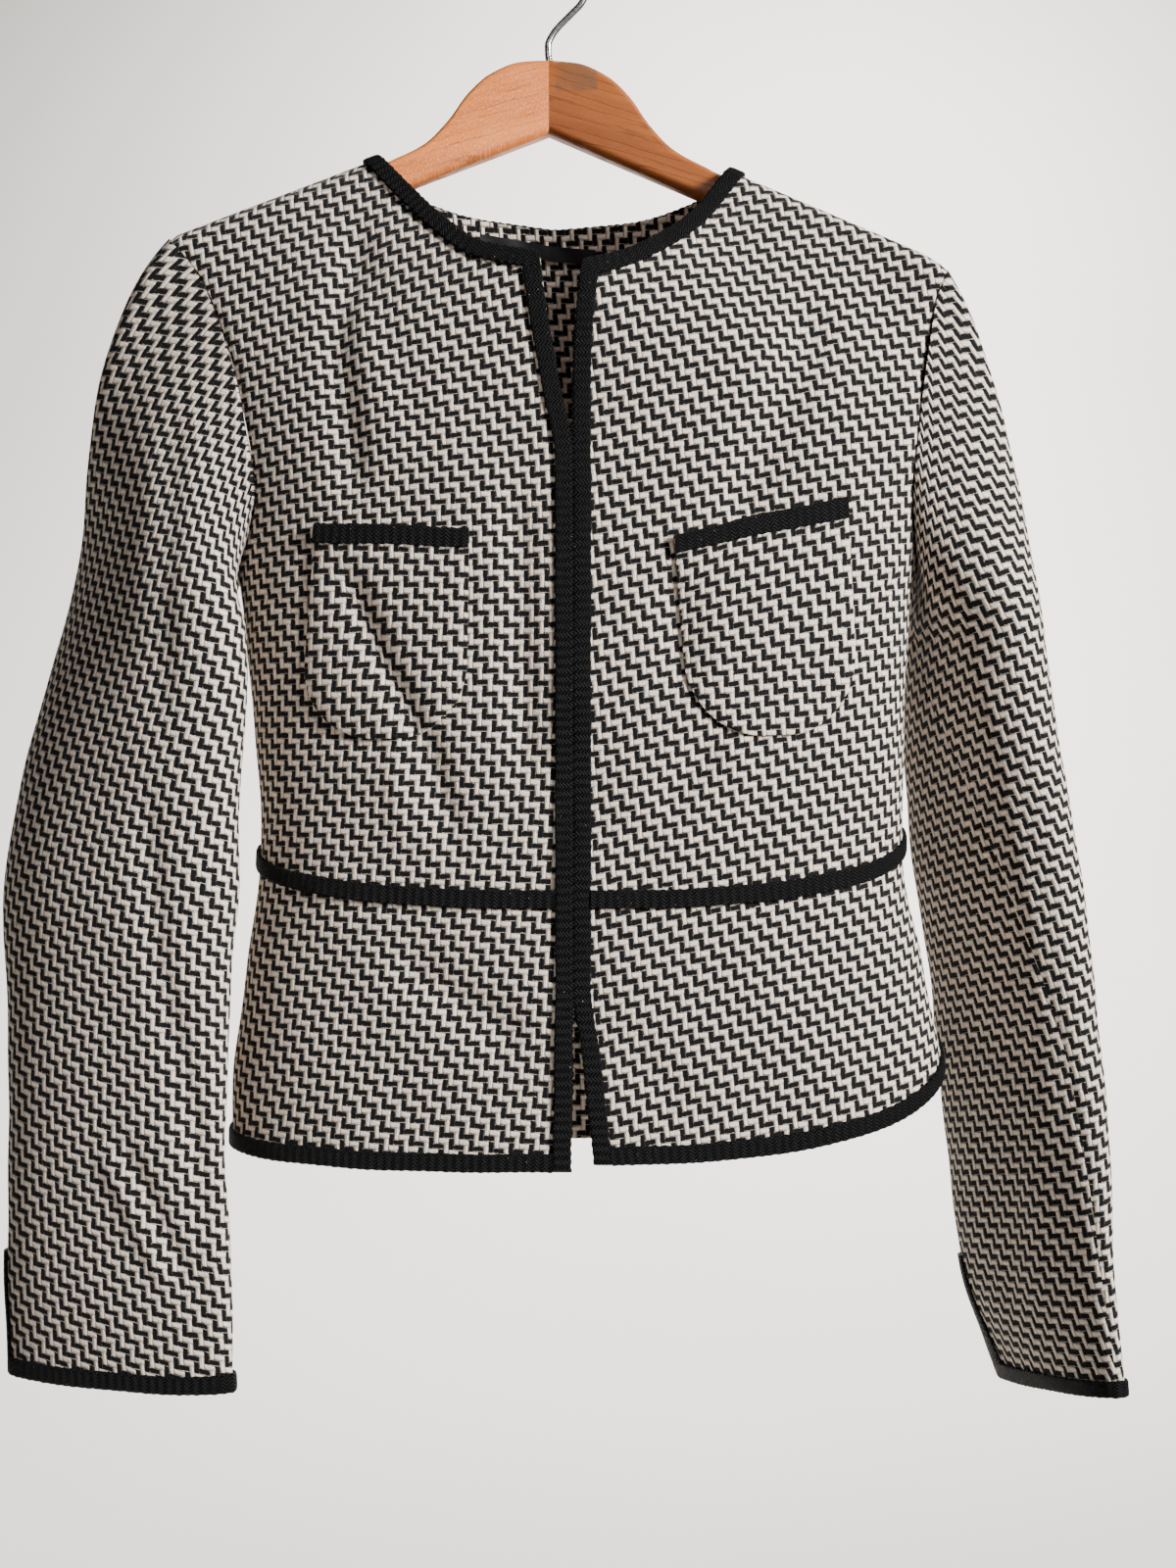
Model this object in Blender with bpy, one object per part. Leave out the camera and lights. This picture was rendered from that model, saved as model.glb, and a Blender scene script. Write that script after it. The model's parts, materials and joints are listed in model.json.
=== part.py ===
"""A collarless cropped tweed jacket, bound with braid, hanging on its wooden hanger.

The frame has its origin at the top inside the hook, where the hanger hangs.
+X is the wearer's left, +Y goes back to the wall and +Z is up.  Metres.
Every cloth piece is a thin wall laid out on one shape: the body's oval
sections, or a sleeve's rings.  Sides are -1 for the wearer's right (-X) and
+1 for the wearer's left (+X).  Faces are -1 for the front and +1 for the back.
"""
import math
from collections import namedtuple

import bmesh
import bpy
from mathutils import Vector

RIGHT, LEFT = -1, 1
FRONT, BACK = -1, 1

# Cloth and braid
CLOTH = 0.0018
SEAM_GAP = 0.0003
BRAID_WIDTH = 0.0085
BRAID_THICK = 0.0016
PLY = 0.0004
SEAM_LIFT = 0.0009

# Hanger: two mitred arms, tilted a little down on the wearer's left
ARM_THICK = 0.0135
ARM_SWEEP = 0.16
ARM_END_X = 0.194
WIRE = 0.0038
HOOK_RADIUS = 0.0195 + WIRE / 2

# The body's middle hangs this far in front of the hook
BODY_Y = -0.012

# Shoulder line: the seam that lies along the arms
NECK_HALF = 0.097
SEAM_AT_NECK = -0.1275
SHOULDER_SLOPE = 0.462
TILT = 0.022
TIP_X = {RIGHT: -0.2021, LEFT: 0.2135}
SHOULDER_DROOP = 8.0
ROLL = 0.0115
CHEST_DROP = 0.13

# Ovals: 2 is an ellipse, more is squarer
BODY_OVAL = 2.5
SLEEVE_OVAL = 2.2

Section = namedtuple("Section", "height middle right left front back")
BODY = [
    Section(-0.100, 0.0020, 0.238, 0.238, 0.056, 0.052),
    Section(-0.190, 0.0080, 0.224, 0.224, 0.062, 0.058),
    Section(-0.270, 0.0130, 0.205, 0.207, 0.066, 0.062),
    Section(-0.345, 0.0139, 0.183, 0.186, 0.067, 0.060),
    Section(-0.420, 0.0139, 0.175, 0.180, 0.066, 0.056),
    Section(-0.500, 0.0139, 0.171, 0.178, 0.063, 0.054),
    Section(-0.560, 0.0139, 0.177, 0.190, 0.063, 0.055),
    Section(-0.620, 0.0145, 0.186, 0.200, 0.063, 0.058),
    Section(-0.690, 0.0160, 0.190, 0.205, 0.063, 0.060),
]

# Centre front edges: they part at the neck, meet, and part again at the hem
Edge = namedtuple("Edge", "height right left")
FRONT_EDGES = [
    Edge(-0.185, -0.0045, 0.0190),
    Edge(-0.225, 0.0005, 0.0155),
    Edge(-0.262, 0.0072, 0.0141),
    Edge(-0.302, 0.0136, 0.0142),
    Edge(-0.566, 0.0136, 0.0142),
    Edge(-0.610, 0.0132, 0.0195),
    Edge(-0.670, 0.0120, 0.0262),
]

# Neckline from centre front (part 0) up to the shoulder seam (part 1)
NeckRow = namedtuple("NeckRow", "part x height")
NECK_FRONT = {
    RIGHT: [
        NeckRow(0.00, -0.0034, -0.1907),
        NeckRow(0.28, -0.0350, -0.1827),
        NeckRow(0.46, -0.0525, -0.1688),
        NeckRow(0.74, -0.0722, -0.1480),
        NeckRow(1.00, -0.0925, -0.1233),
    ],
    LEFT: [
        NeckRow(0.00, 0.0185, -0.1947),
        NeckRow(0.22, 0.0404, -0.1878),
        NeckRow(0.43, 0.0610, -0.1755),
        NeckRow(0.65, 0.0785, -0.1590),
        NeckRow(1.00, 0.0985, -0.1303),
    ],
}
NECK_BACK = {
    RIGHT: [
        NeckRow(0.00, 0.0030, -0.1475),
        NeckRow(0.40, -0.0350, -0.1450),
        NeckRow(0.80, -0.0740, -0.1370),
        NeckRow(1.00, -0.0925, -0.1233),
    ],
    LEFT: [
        NeckRow(0.00, 0.0030, -0.1475),
        NeckRow(0.40, 0.0390, -0.1470),
        NeckRow(0.80, 0.0790, -0.1405),
        NeckRow(1.00, 0.0985, -0.1303),
    ],
}

# Armholes from the shoulder tip (part 0) down to the side seam (part 1);
# across is the share of the way round from the middle to the side
ArmholeRow = namedtuple("ArmholeRow", "part across height")
ARMHOLES = {
    (FRONT, RIGHT): [
        ArmholeRow(0.18, 0.620, -0.197),
        ArmholeRow(0.36, 0.590, -0.235),
        ArmholeRow(0.54, 0.602, -0.275),
        ArmholeRow(0.70, 0.640, -0.310),
        ArmholeRow(0.85, 0.770, -0.337),
        ArmholeRow(1.00, 1.000, -0.347),
    ],
    (FRONT, LEFT): [
        ArmholeRow(0.18, 0.662, -0.210),
        ArmholeRow(0.36, 0.648, -0.245),
        ArmholeRow(0.54, 0.668, -0.282),
        ArmholeRow(0.70, 0.735, -0.315),
        ArmholeRow(0.85, 0.850, -0.338),
        ArmholeRow(1.00, 1.000, -0.347),
    ],
    (BACK, RIGHT): [
        ArmholeRow(0.18, 0.685, -0.200),
        ArmholeRow(0.36, 0.665, -0.240),
        ArmholeRow(0.54, 0.675, -0.280),
        ArmholeRow(0.70, 0.725, -0.314),
        ArmholeRow(0.85, 0.835, -0.337),
        ArmholeRow(1.00, 1.000, -0.347),
    ],
    (BACK, LEFT): [
        ArmholeRow(0.18, 0.685, -0.210),
        ArmholeRow(0.36, 0.665, -0.247),
        ArmholeRow(0.54, 0.675, -0.283),
        ArmholeRow(0.70, 0.725, -0.315),
        ArmholeRow(0.85, 0.835, -0.338),
        ArmholeRow(1.00, 1.000, -0.347),
    ],
}

# Waist seam and hem: their heights at the middle and at the side seam
Level = namedtuple("Level", "middle side")
WAIST = {
    (FRONT, RIGHT): Level(-0.5234, -0.5020),
    (FRONT, LEFT): Level(-0.5234, -0.4930),
    (BACK, RIGHT): Level(-0.5120, -0.5020),
    (BACK, LEFT): Level(-0.5120, -0.4930),
}
HEM = {
    (FRONT, RIGHT): Level(-0.6630, -0.6575),
    (FRONT, LEFT): Level(-0.6592, -0.6105),
    (BACK, RIGHT): Level(-0.6690, -0.6575),
    (BACK, LEFT): Level(-0.6690, -0.6105),
}
LEVEL_RISE = 1.75

# Sleeves: level rings, widest from the outer to the inner end.  Turn swings
# the outer end back, twist carries the cloth round the ring as it hangs.
Ring = namedtuple("Ring", "height x y half_width half_depth turn twist")
SLEEVES = {
    RIGHT: [
        Ring(-0.385, -0.2140, -0.018, 0.0700, 0.029, 41, 0),
        Ring(-0.425, -0.2175, -0.025, 0.0700, 0.030, 33, 0),
        Ring(-0.464, -0.2222, -0.030, 0.0699, 0.030, 27, 0),
        Ring(-0.516, -0.2255, -0.035, 0.0698, 0.028, 21, 0),
        Ring(-0.567, -0.2266, -0.038, 0.0653, 0.025, 18, 0),
        Ring(-0.644, -0.2262, -0.041, 0.0625, 0.021, 15, 0),
        Ring(-0.710, -0.2240, -0.044, 0.0628, 0.017, 14, 0),
        Ring(-0.7755, -0.2220, -0.047, 0.0632, 0.013, 13, 0),
    ],
    LEFT: [
        Ring(-0.385, 0.2335, 0.018, 0.0600, 0.029, -72, -10),
        Ring(-0.425, 0.2375, 0.019, 0.0610, 0.029, -70, -24),
        Ring(-0.464, 0.2425, 0.020, 0.0620, 0.028, -67, -40),
        Ring(-0.519, 0.2495, 0.021, 0.0610, 0.027, -62, -62),
        Ring(-0.574, 0.2570, 0.023, 0.0600, 0.025, -61, -80),
        Ring(-0.629, 0.2630, 0.024, 0.0590, 0.022, -59, -92),
        Ring(-0.701, 0.2695, 0.026, 0.0585, 0.018, -59, -100),
        Ring(-0.740, 0.2735, 0.027, 0.0585, 0.015, -61, -102),
        Ring(-0.7955, 0.2865, 0.027, 0.0585, 0.012, -72, -104),
    ],
}
# The cuff edge falls this much from the outer to the inner end of its ring
CUFF_FALL = {RIGHT: 0.001, LEFT: 0.010}
# How far the sleeve head stands out as it leaves the shoulder, and how soon it hangs
CAP_REACH = {RIGHT: 0.66, LEFT: 0.42}
CAP_SETTLE = {RIGHT: 0.34, LEFT: 0.22}
VENT_RINGS = 0.905
VENT_SPREAD = {RIGHT: 2.0, LEFT: 6.0}
VENT_BRAID_END = 2.0

Pocket = namedtuple("Pocket", "x top width depth slant corner")
POCKETS = {
    RIGHT: Pocket(-0.0820, -0.3320, 0.086, 0.1085, -3.2, 0.040),
    LEFT: Pocket(0.1100, -0.3272, 0.0915, 0.1115, 13.2, 0.042),
}
LABEL_MIDDLE = (-0.0072, -0.1585)
LABEL_SIZE = (0.066, 0.0115)
LABEL_SLANT = -10.0
LABEL_THICK = 0.0006
LABEL_LIFT = 0.0020

Finish = namedtuple("Finish", "color roughness metallic")
FINISHES = {
    "tweed": Finish((0.36, 0.33, 0.30), 0.92, 0.0),
    "braid": Finish((0.012, 0.012, 0.013), 0.62, 0.0),
    "satin": Finish((0.010, 0.010, 0.011), 0.38, 0.0),
    "wood": Finish((0.50, 0.24, 0.10), 0.38, 0.0),
    "steel": Finish((0.62, 0.62, 0.62), 0.28, 1.0),
}


# ---------------------------------------------------------------- tools

def read_rows(rows, place, column):
    """One column of a table, read smoothly at a place along its first column."""
    order = sorted(rows, key=lambda row: row[0])
    places = [row[0] for row in order]
    values = [getattr(row, column) for row in order]
    if place <= places[0]:
        return values[0]
    if place >= places[-1]:
        return values[-1]
    index = max(i for i in range(len(places) - 1) if places[i] <= place)

    def secant(i):
        return (values[i + 1] - values[i]) / (places[i + 1] - places[i])

    def slope(i):
        before = secant(max(i - 1, 0))
        after = secant(min(i, len(places) - 2))
        return 0.0 if before * after <= 0 else 2 * before * after / (before + after)

    span = places[index + 1] - places[index]
    t = (place - places[index]) / span
    start = (1 + 2 * t) * (1 - t) ** 2 * values[index] + t * (1 - t) ** 2 * span * slope(index)
    end = t * t * (3 - 2 * t) * values[index + 1] + t * t * (t - 1) * span * slope(index + 1)
    return start + end


def power(base, exponent):
    """A signed power, for the four quarters of an oval."""
    return math.copysign(abs(base) ** exponent, base)


def spread(first, last, count):
    """Evenly spaced values from first to last."""
    return [first + (last - first) * i / (count - 1) for i in range(count)]


def finish_material(name):
    """The plain Principled material of one finish, made once."""
    material = bpy.data.materials.get(name)
    if material:
        return material
    finish = FINISHES[name]
    material = bpy.data.materials.new(name)
    material.use_nodes = True
    shader = material.node_tree.nodes["Principled BSDF"]
    shader.inputs["Base Color"].default_value = (*finish.color, 1.0)
    shader.inputs["Roughness"].default_value = finish.roughness
    shader.inputs["Metallic"].default_value = finish.metallic
    return material


def add_object(name, builder, finish):
    """Turn a bmesh into a named, smooth-shaded object of one finish."""
    bmesh.ops.recalc_face_normals(builder, faces=builder.faces)
    mesh = bpy.data.meshes.new(name)
    builder.to_mesh(mesh)
    builder.free()
    mesh.shade_smooth()
    mesh.set_sharp_from_angle(angle=math.radians(40))
    mesh.materials.append(finish_material(finish))
    part = bpy.data.objects.new(name, mesh)
    bpy.context.scene.collection.objects.link(part)
    return part


def surface_normal(surface, across, along, side_step, down_step):
    """The outward normal of a two-way surface, from small steps on it."""
    sideways = surface(across + side_step, along) - surface(across - side_step, along)
    lengthways = surface(across, along + down_step) - surface(across, along - down_step)
    return sideways.cross(lengthways).normalized()


def lay_cloth(name, places, surface, normal, low, high, finish):
    """A closed sheet over rows of places, from one height off the surface to another."""
    builder = bmesh.new()
    layers = []
    for offset in (low, high):
        layer = []
        for row in places:
            spots = [surface(*place) + normal(*place) * offset for place in row]
            layer.append([builder.verts.new(spot) for spot in spots])
        layers.append(layer)
    under, over = layers
    rows, columns = len(places), len(places[0])
    for i in range(rows - 1):
        for j in range(columns - 1):
            builder.faces.new((over[i][j], over[i][j + 1], over[i + 1][j + 1], over[i + 1][j]))
            builder.faces.new((under[i][j], under[i + 1][j], under[i + 1][j + 1], under[i][j + 1]))
    top = [(0, j) for j in range(columns)]
    right = [(i, columns - 1) for i in range(1, rows)]
    bottom = [(rows - 1, j) for j in range(columns - 2, -1, -1)]
    left = [(i, 0) for i in range(rows - 2, 0, -1)]
    rim = top + right + bottom + left
    for (i, j), (k, m) in zip(rim, rim[1:] + rim[:1]):
        builder.faces.new((over[i][j], under[i][j], under[k][m], over[k][m]))
    return add_object(name, builder, finish)


# ---------------------------------------------------------------- shapes

def seam_height(x):
    """Height of the shoulder seam's line; past the arm's end the cloth droops."""
    past = max(abs(x) - ARM_END_X, 0.0)
    straight = SEAM_AT_NECK - SHOULDER_SLOPE * (abs(x) - NECK_HALF) - TILT * x
    return straight - SHOULDER_DROOP * past * past


def arm_y(x):
    """How far back the middle of the hanger's arm lies; the ends come forward."""
    return -ARM_SWEEP * abs(x)


def cloth_line_y(x):
    """The arm's line, rounded off inside the neck where no arm holds the cloth."""
    inside = NECK_HALF * 0.8
    if abs(x) >= inside:
        return arm_y(x)
    return -ARM_SWEEP * (x * x / (2 * inside) + inside / 2)


def body_half(side, height):
    """Half width of the body on one side at a height."""
    return read_rows(BODY, height, "left" if side == LEFT else "right")


def body_point(face, across, height):
    """A point of the body's outer surface; across runs from -1 to 1 between the side seams."""
    side = LEFT if across >= 0 else RIGHT
    angle = min(abs(across), 1.0) * math.pi / 2
    reach = read_rows(BODY, height, "front" if face == FRONT else "back")
    x = read_rows(BODY, height, "middle")
    x += side * body_half(side, height) * math.sin(angle) ** (2 / BODY_OVAL)
    hang_y = BODY_Y + face * reach * max(math.cos(angle), 0.0) ** (2 / BODY_OVAL)
    drop = max(seam_height(x) - height, 0.0)
    fall = math.sin(math.pi / 2 * min(drop / CHEST_DROP, 1.0))
    turn = math.sqrt(1 - (1 - min(drop / ROLL, 1.0)) ** 2)
    seam_y = cloth_line_y(x) + face * (SEAM_GAP / 2 + ROLL * turn)
    return Vector((x, seam_y + (hang_y + face * SEAM_GAP / 2 - seam_y) * fall, height))


def across_at(side, x, height):
    """The across value of a place on the body, from its x."""
    share = (x - read_rows(BODY, height, "middle")) * side / body_half(side, height)
    share = min(max(share, 0.0), 1.0)
    return side * math.asin(share ** (BODY_OVAL / 2)) * 2 / math.pi


def level_height(levels, face, side, across):
    """Height of the waist seam or the hem round the body."""
    level = levels[face, side]
    return level.middle + (level.side - level.middle) * abs(across) ** LEVEL_RISE


def tip_row(side):
    """The armhole's first row, at the shoulder tip."""
    height = seam_height(TIP_X[side])
    return ArmholeRow(0.0, abs(across_at(side, TIP_X[side], height)), height)


def armhole_place(face, side, part):
    """A place on the armhole, as across and height."""
    rows = [tip_row(side)] + ARMHOLES[face, side]
    return side * read_rows(rows, part, "across"), read_rows(rows, part, "height")


def neck_place(face, side, part):
    """A place on the neckline, as across and height."""
    rows = (NECK_FRONT if face == FRONT else NECK_BACK)[side]
    height = read_rows(rows, part, "height")
    if part >= 1.0:
        height = seam_height(rows[-1].x)
    return across_at(side, read_rows(rows, part, "x"), height), height


def sleeve_ring_point(side, angle, row):
    """A point of a sleeve's ring at an angle round the cloth, in degrees, from its outer end."""
    rows = SLEEVES[side]
    height = rows[0].height + (rows[-1].height - rows[0].height) * row
    turn = math.radians(read_rows(rows, height, "turn"))
    place = math.radians(angle + read_rows(rows, height, "twist")) + turn
    outward = read_rows(rows, height, "half_width") * power(math.cos(place), 2 / SLEEVE_OVAL)
    forward = read_rows(rows, height, "half_depth") * power(math.sin(place), 2 / SLEEVE_OVAL)
    x = read_rows(rows, height, "x")
    x += side * (outward * math.cos(turn) + forward * math.sin(turn))
    y = BODY_Y + read_rows(rows, height, "y")
    y += outward * math.sin(turn) - forward * math.cos(turn)
    width = read_rows(rows, height, "half_width")
    fall = CUFF_FALL[side] * outward / width * max(row, 0.0) ** 3 / 2
    return Vector((x, y, height + fall))


def sleeve_point(side, angle, down):
    """A point of a sleeve; down is 0 at the armhole, 1 at the first ring and 2 at the cuff."""
    ring = sleeve_ring_point(side, angle, max(down - 1.0, 0.0))
    if down >= 1.0:
        return ring
    turned = angle % 360
    face = FRONT if turned <= 180 else BACK
    part = turned / 180 if face == FRONT else (360 - turned) / 180
    start = body_point(face, *armhole_place(face, side, part))
    low = 0.5 - 0.5 * math.cos(math.radians(turned))
    outward = Vector((side * (CAP_REACH[side] - 0.25 * low), 0, -0.74 - 0.26 * low)).normalized()
    apart = Vector((side * (1 - 0.5 * low), face * low * (1 - low) * 3, -low)).normalized()
    start = start + apart * SEAM_GAP * (2 + 2 * low)
    length = (ring - start).length
    below = sleeve_ring_point(side, angle, 0.05)
    settle = (below - ring).normalized()
    first = start + outward * length * 0.38
    second = ring - settle * length * CAP_SETTLE[side]
    t = max(down, 0.0)
    return (start * (1 - t) ** 3 + first * 3 * t * (1 - t) ** 2
            + second * 3 * t * t * (1 - t) + ring * t ** 3)


def body_normal(face):
    """A function giving the outward normal of the body's front or back."""
    def surface(across, height):
        return body_point(face, across, height)

    def normal(across, height):
        inside = min(max(across, -0.996), 0.996)
        side = LEFT if across >= 0 else RIGHT
        x = surface(inside, height).x
        if seam_height(x) - height < 0.0008:
            return Vector((0.3 * side, 0.0, 1.0)).normalized()
        found = surface_normal(surface, inside, height, 0.003, 0.0006)
        return found if face == FRONT else -found
    return normal


def sleeve_normal(side):
    """A function giving the outward normal of a sleeve."""
    def surface(across, along):
        return sleeve_point(side, across, along)

    def normal(angle, down):
        inside = min(max(down, 0.02), 1.985)
        found = surface_normal(surface, angle, inside, 1.2, 0.012) * side
        if down > 0.0:
            return found
        turned = angle % 360
        face = FRONT if turned <= 180 else BACK
        part = min(turned, 360 - turned) / 180
        seated = body_normal(face)(*armhole_place(face, side, part))
        low = max(1.6 * part - 0.6, 0.0)
        return seated.lerp(found, low).normalized()
    return normal


# ---------------------------------------------------------------- body

EVEN = BODY_OVAL / 2
NECK_COLUMN = 0.53
NECK_SHARE = NECK_COLUMN ** EVEN
SIDE_SHARE = 0.40
HIND_ROW = 0.953
PANEL_ROWS = [0.0, 0.13, 0.27, SIDE_SHARE, 0.44, 0.50, 0.58, 0.66, 0.74, 0.81, 0.87, 0.92]
PANEL_ROWS += [HIND_ROW, 0.980, 0.9957, 1.0]
PANEL_COLUMNS = [0.0, 0.15, 0.29, 0.41, 0.50, NECK_COLUMN, 0.63, 0.73, 0.82, 0.90, 0.96, 1.0]
SIDE_EDGE = 0.9995


def bodice_place(face, side, column, row):
    """A place on a bodice panel, blended from its four edges."""
    neck_low = neck_place(face, side, 0.0)
    waist_low = level_height(WAIST, face, side, 0.0) + SEAM_GAP / 2

    def inner(share):
        height = waist_low + (neck_low[1] - waist_low) * share
        if face == BACK:
            return 0.0, height
        x = read_rows(FRONT_EDGES, height, "left" if side == LEFT else "right")
        return across_at(side, x, height), height

    def outer(share):
        low = level_height(WAIST, face, side, 1.0) + SEAM_GAP / 2
        if share >= SIDE_SHARE:
            across, height = armhole_place(face, side, 1 - (share - SIDE_SHARE) / (1 - SIDE_SHARE))
            return side * min(abs(across), SIDE_EDGE), height
        under = ARMHOLES[face, side][-1].height
        return side * SIDE_EDGE, low + (under - low) * share / SIDE_SHARE

    def lower(share):
        start = inner(0.0)[0]
        across = start + (side * SIDE_EDGE - start) * share ** EVEN
        return across, level_height(WAIST, face, side, across) + SEAM_GAP / 2

    def upper(share):
        if share <= NECK_SHARE:
            return neck_place(face, side, share / NECK_SHARE)
        start = NECK_FRONT[side][-1].x
        x = start + (TIP_X[side] - start) * (share - NECK_SHARE) / (1 - NECK_SHARE)
        return across_at(side, x, seam_height(x)), seam_height(x)

    spots = []
    for part in (0, 1):
        share = column ** EVEN
        value = (1 - share) * inner(row)[part] + share * outer(row)[part]
        value += (1 - row) * lower(column)[part] + row * upper(column)[part]
        value -= (1 - row) * ((1 - share) * inner(0)[part] + share * outer(0)[part])
        value -= row * ((1 - share) * inner(1)[part] + share * outer(1)[part])
        spots.append(value)
    return tuple(spots)


def peplum_place(face, side, column, row):
    """A place on a peplum panel, from its hem (row 0) up to the waist seam (row 1)."""
    column = column ** EVEN
    across = side * column * SIDE_EDGE
    low = level_height(HEM, face, side, across)
    high = level_height(WAIST, face, side, across) - SEAM_GAP / 2
    height = low + (high - low) * row
    if face == FRONT:
        x = read_rows(FRONT_EDGES, height, "left" if side == LEFT else "right")
        start = across_at(side, x, height)
        across = start + (side * SIDE_EDGE - start) * column
    return across, height


def add_panel(name, face, place_at, columns, rows):
    """A body panel: a front on one side, or the back across both."""
    if face == FRONT:
        side = LEFT if name.endswith("left") else RIGHT
        places = [[place_at(face, side, column, row) for column in columns] for row in rows]
    else:
        places = []
        for row in rows:
            right_half = [place_at(face, RIGHT, column, row) for column in reversed(columns[1:])]
            places.append(right_half + [place_at(face, LEFT, column, row) for column in columns])

    def surface(across, height):
        return body_point(face, across, height)
    lay_cloth(name, places, surface, body_normal(face), -CLOTH, 0.0, "tweed")


def add_body():
    """Fronts and back of the bodice, then of the peplum below the waist seam."""
    peplum_columns = [0.0, 0.10, 0.22, 0.34, 0.46, 0.58, 0.69, 0.79, 0.88, 0.95, 1.0]
    peplum_rows = spread(0.0, 1.0, 5)
    for name in ("bodice_front_right", "bodice_front_left"):
        add_panel(name, FRONT, bodice_place, PANEL_COLUMNS, PANEL_ROWS)
    add_panel("bodice_back", BACK, bodice_place, PANEL_COLUMNS, PANEL_ROWS)
    for name in ("peplum_front_right", "peplum_front_left"):
        add_panel(name, FRONT, peplum_place, peplum_columns, peplum_rows)
    add_panel("peplum_back", BACK, peplum_place, peplum_columns, peplum_rows)


# ---------------------------------------------------------------- sleeves

def seat_angle(row):
    """The angle round a sleeve, in degrees, that meets a row of the bodice's armhole edge."""
    return 180 * (1 - (row - SIDE_SHARE) / (1 - SIDE_SHARE))


# The two lengthwise seams: under the arm, and behind the shoulder tip
FORE_SEAM = seat_angle(SIDE_SHARE)
HIND_SEAM = 360 - seat_angle(HIND_ROW)


def sleeve_seam_angle(side, seam, row):
    """Degrees from a lengthwise seam to a piece's edge; the vent opens the hind seam at the cuff."""
    stretch = sleeve_point(side, seam + 1, row) - sleeve_point(side, seam - 1, row)
    gap = 2 * SEAM_GAP / stretch.length
    if seam == HIND_SEAM and row > VENT_RINGS + 1:
        gap += VENT_SPREAD[side] * (row - VENT_RINGS - 1) / (1 - VENT_RINGS)
    return gap


def add_sleeve(side, word):
    """A two-piece sleeve: a wide upper piece and a narrow under piece."""
    rows = [0.0, 0.16, 0.38, 0.68] + spread(1.0, 1.9, 7) + [2.0]
    seats = [seat_angle(row) for row in PANEL_ROWS if row >= SIDE_SHARE]
    start, end = HIND_SEAM - 360, FORE_SEAM
    around = sorted([-seat for seat in seats if seat > 0] + seats + [360 - seat for seat in seats])
    pieces = (("upper_sleeve_" + word, start, end), ("under_sleeve_" + word, end, HIND_SEAM))

    def surface(angle, down):
        return sleeve_point(side, angle, down)
    for name, start, end in pieces:
        between = [angle for angle in around if start + 1 < angle < end - 1]
        places = []
        for row in rows:
            hind = sleeve_seam_angle(side, HIND_SEAM, row)
            fore = sleeve_seam_angle(side, FORE_SEAM, row)
            near, far = (hind, fore) if name.startswith("upper") else (fore, hind)
            angles = [start + near] + between + [end - far]
            places.append([(angle, row) for angle in angles])
        lay_cloth(name, places, surface, sleeve_normal(side), -CLOTH, 0.0, "tweed")


# ---------------------------------------------------------------- pockets and label

def front_from_xz(side, x, height):
    """A point of the front over an x and a height."""
    return body_point(FRONT, across_at(side, x, height), height)


def front_normal_from_xz(side, x, height):
    """The front's normal over an x and a height."""
    return body_normal(FRONT)(across_at(side, x, height), height)


def pocket_xz(pocket, share, down):
    """A place on a pocket: share -0.5 to 0.5 across it, down from its top edge."""
    left = pocket.depth - down
    width = pocket.width
    if left < pocket.corner:
        cut = pocket.corner - math.sqrt(max(pocket.corner ** 2 - (pocket.corner - left) ** 2, 0.0))
        width -= 2 * cut * 0.92
    angle = math.radians(pocket.slant)
    x, z = share * width, -down
    return (pocket.x + x * math.cos(angle) - z * math.sin(angle) * 0.35,
            pocket.top + x * math.sin(angle) * (1 - 0.8 * down / pocket.depth) + z)


def add_pocket(side, word):
    """A round-bottomed patch pocket with braid along its top edge."""
    pocket = POCKETS[side]
    shares = spread(-0.5, 0.5, 7)
    downs = spread(0.0, pocket.depth - pocket.corner, 4)
    downs += [pocket.depth - pocket.corner * left for left in (0.72, 0.46, 0.24, 0.09, 0.0)]
    places = [[(*pocket_xz(pocket, share, down), side) for share in shares] for down in downs]

    def surface(x, height, where):
        return front_from_xz(where, x, height)

    def normal(x, height, where):
        return front_normal_from_xz(where, x, height)
    low = PLY
    lay_cloth("pocket_" + word, places, surface, normal, low, low + CLOTH, "tweed")
    bands = [[(*pocket_xz(pocket, share, down), side) for share in shares]
             for down in (-0.0006, BRAID_WIDTH)]
    low = PLY * 2 + CLOTH
    lay_cloth("pocket_braid_" + word, bands, surface, normal, low, low + BRAID_THICK, "braid")


def add_label():
    """A plain black satin label on the inside of the back, below the neck."""
    width, tall = LABEL_SIZE
    slant = math.tan(math.radians(LABEL_SLANT))
    places = []
    for z in (tall / 2, -tall / 2):
        row = []
        for share in spread(-0.5, 0.5, 11):
            x = LABEL_MIDDLE[0] + share * width
            row.append((x, LABEL_MIDDLE[1] + z + share * width * slant))
        places.append(row)

    def back_place(x, height):
        side = LEFT if x >= read_rows(BODY, height, "middle") else RIGHT
        return across_at(side, x, height), height

    def surface(x, height):
        return body_point(BACK, *back_place(x, height))

    def normal(x, height):
        return body_normal(BACK)(*back_place(x, height))
    low = -CLOTH - LABEL_LIFT - LABEL_THICK
    lay_cloth("label", places, surface, normal, low, low + LABEL_THICK, "satin")


# ---------------------------------------------------------------- braid

def add_body_braid(name, face, edge, inner, lift=PLY):
    """A flat braid on the body between two lines of places."""
    def surface(across, height):
        return body_point(face, across, height)
    lay_cloth(name, [edge, inner], surface, body_normal(face), lift, lift + BRAID_THICK, "braid")


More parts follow.
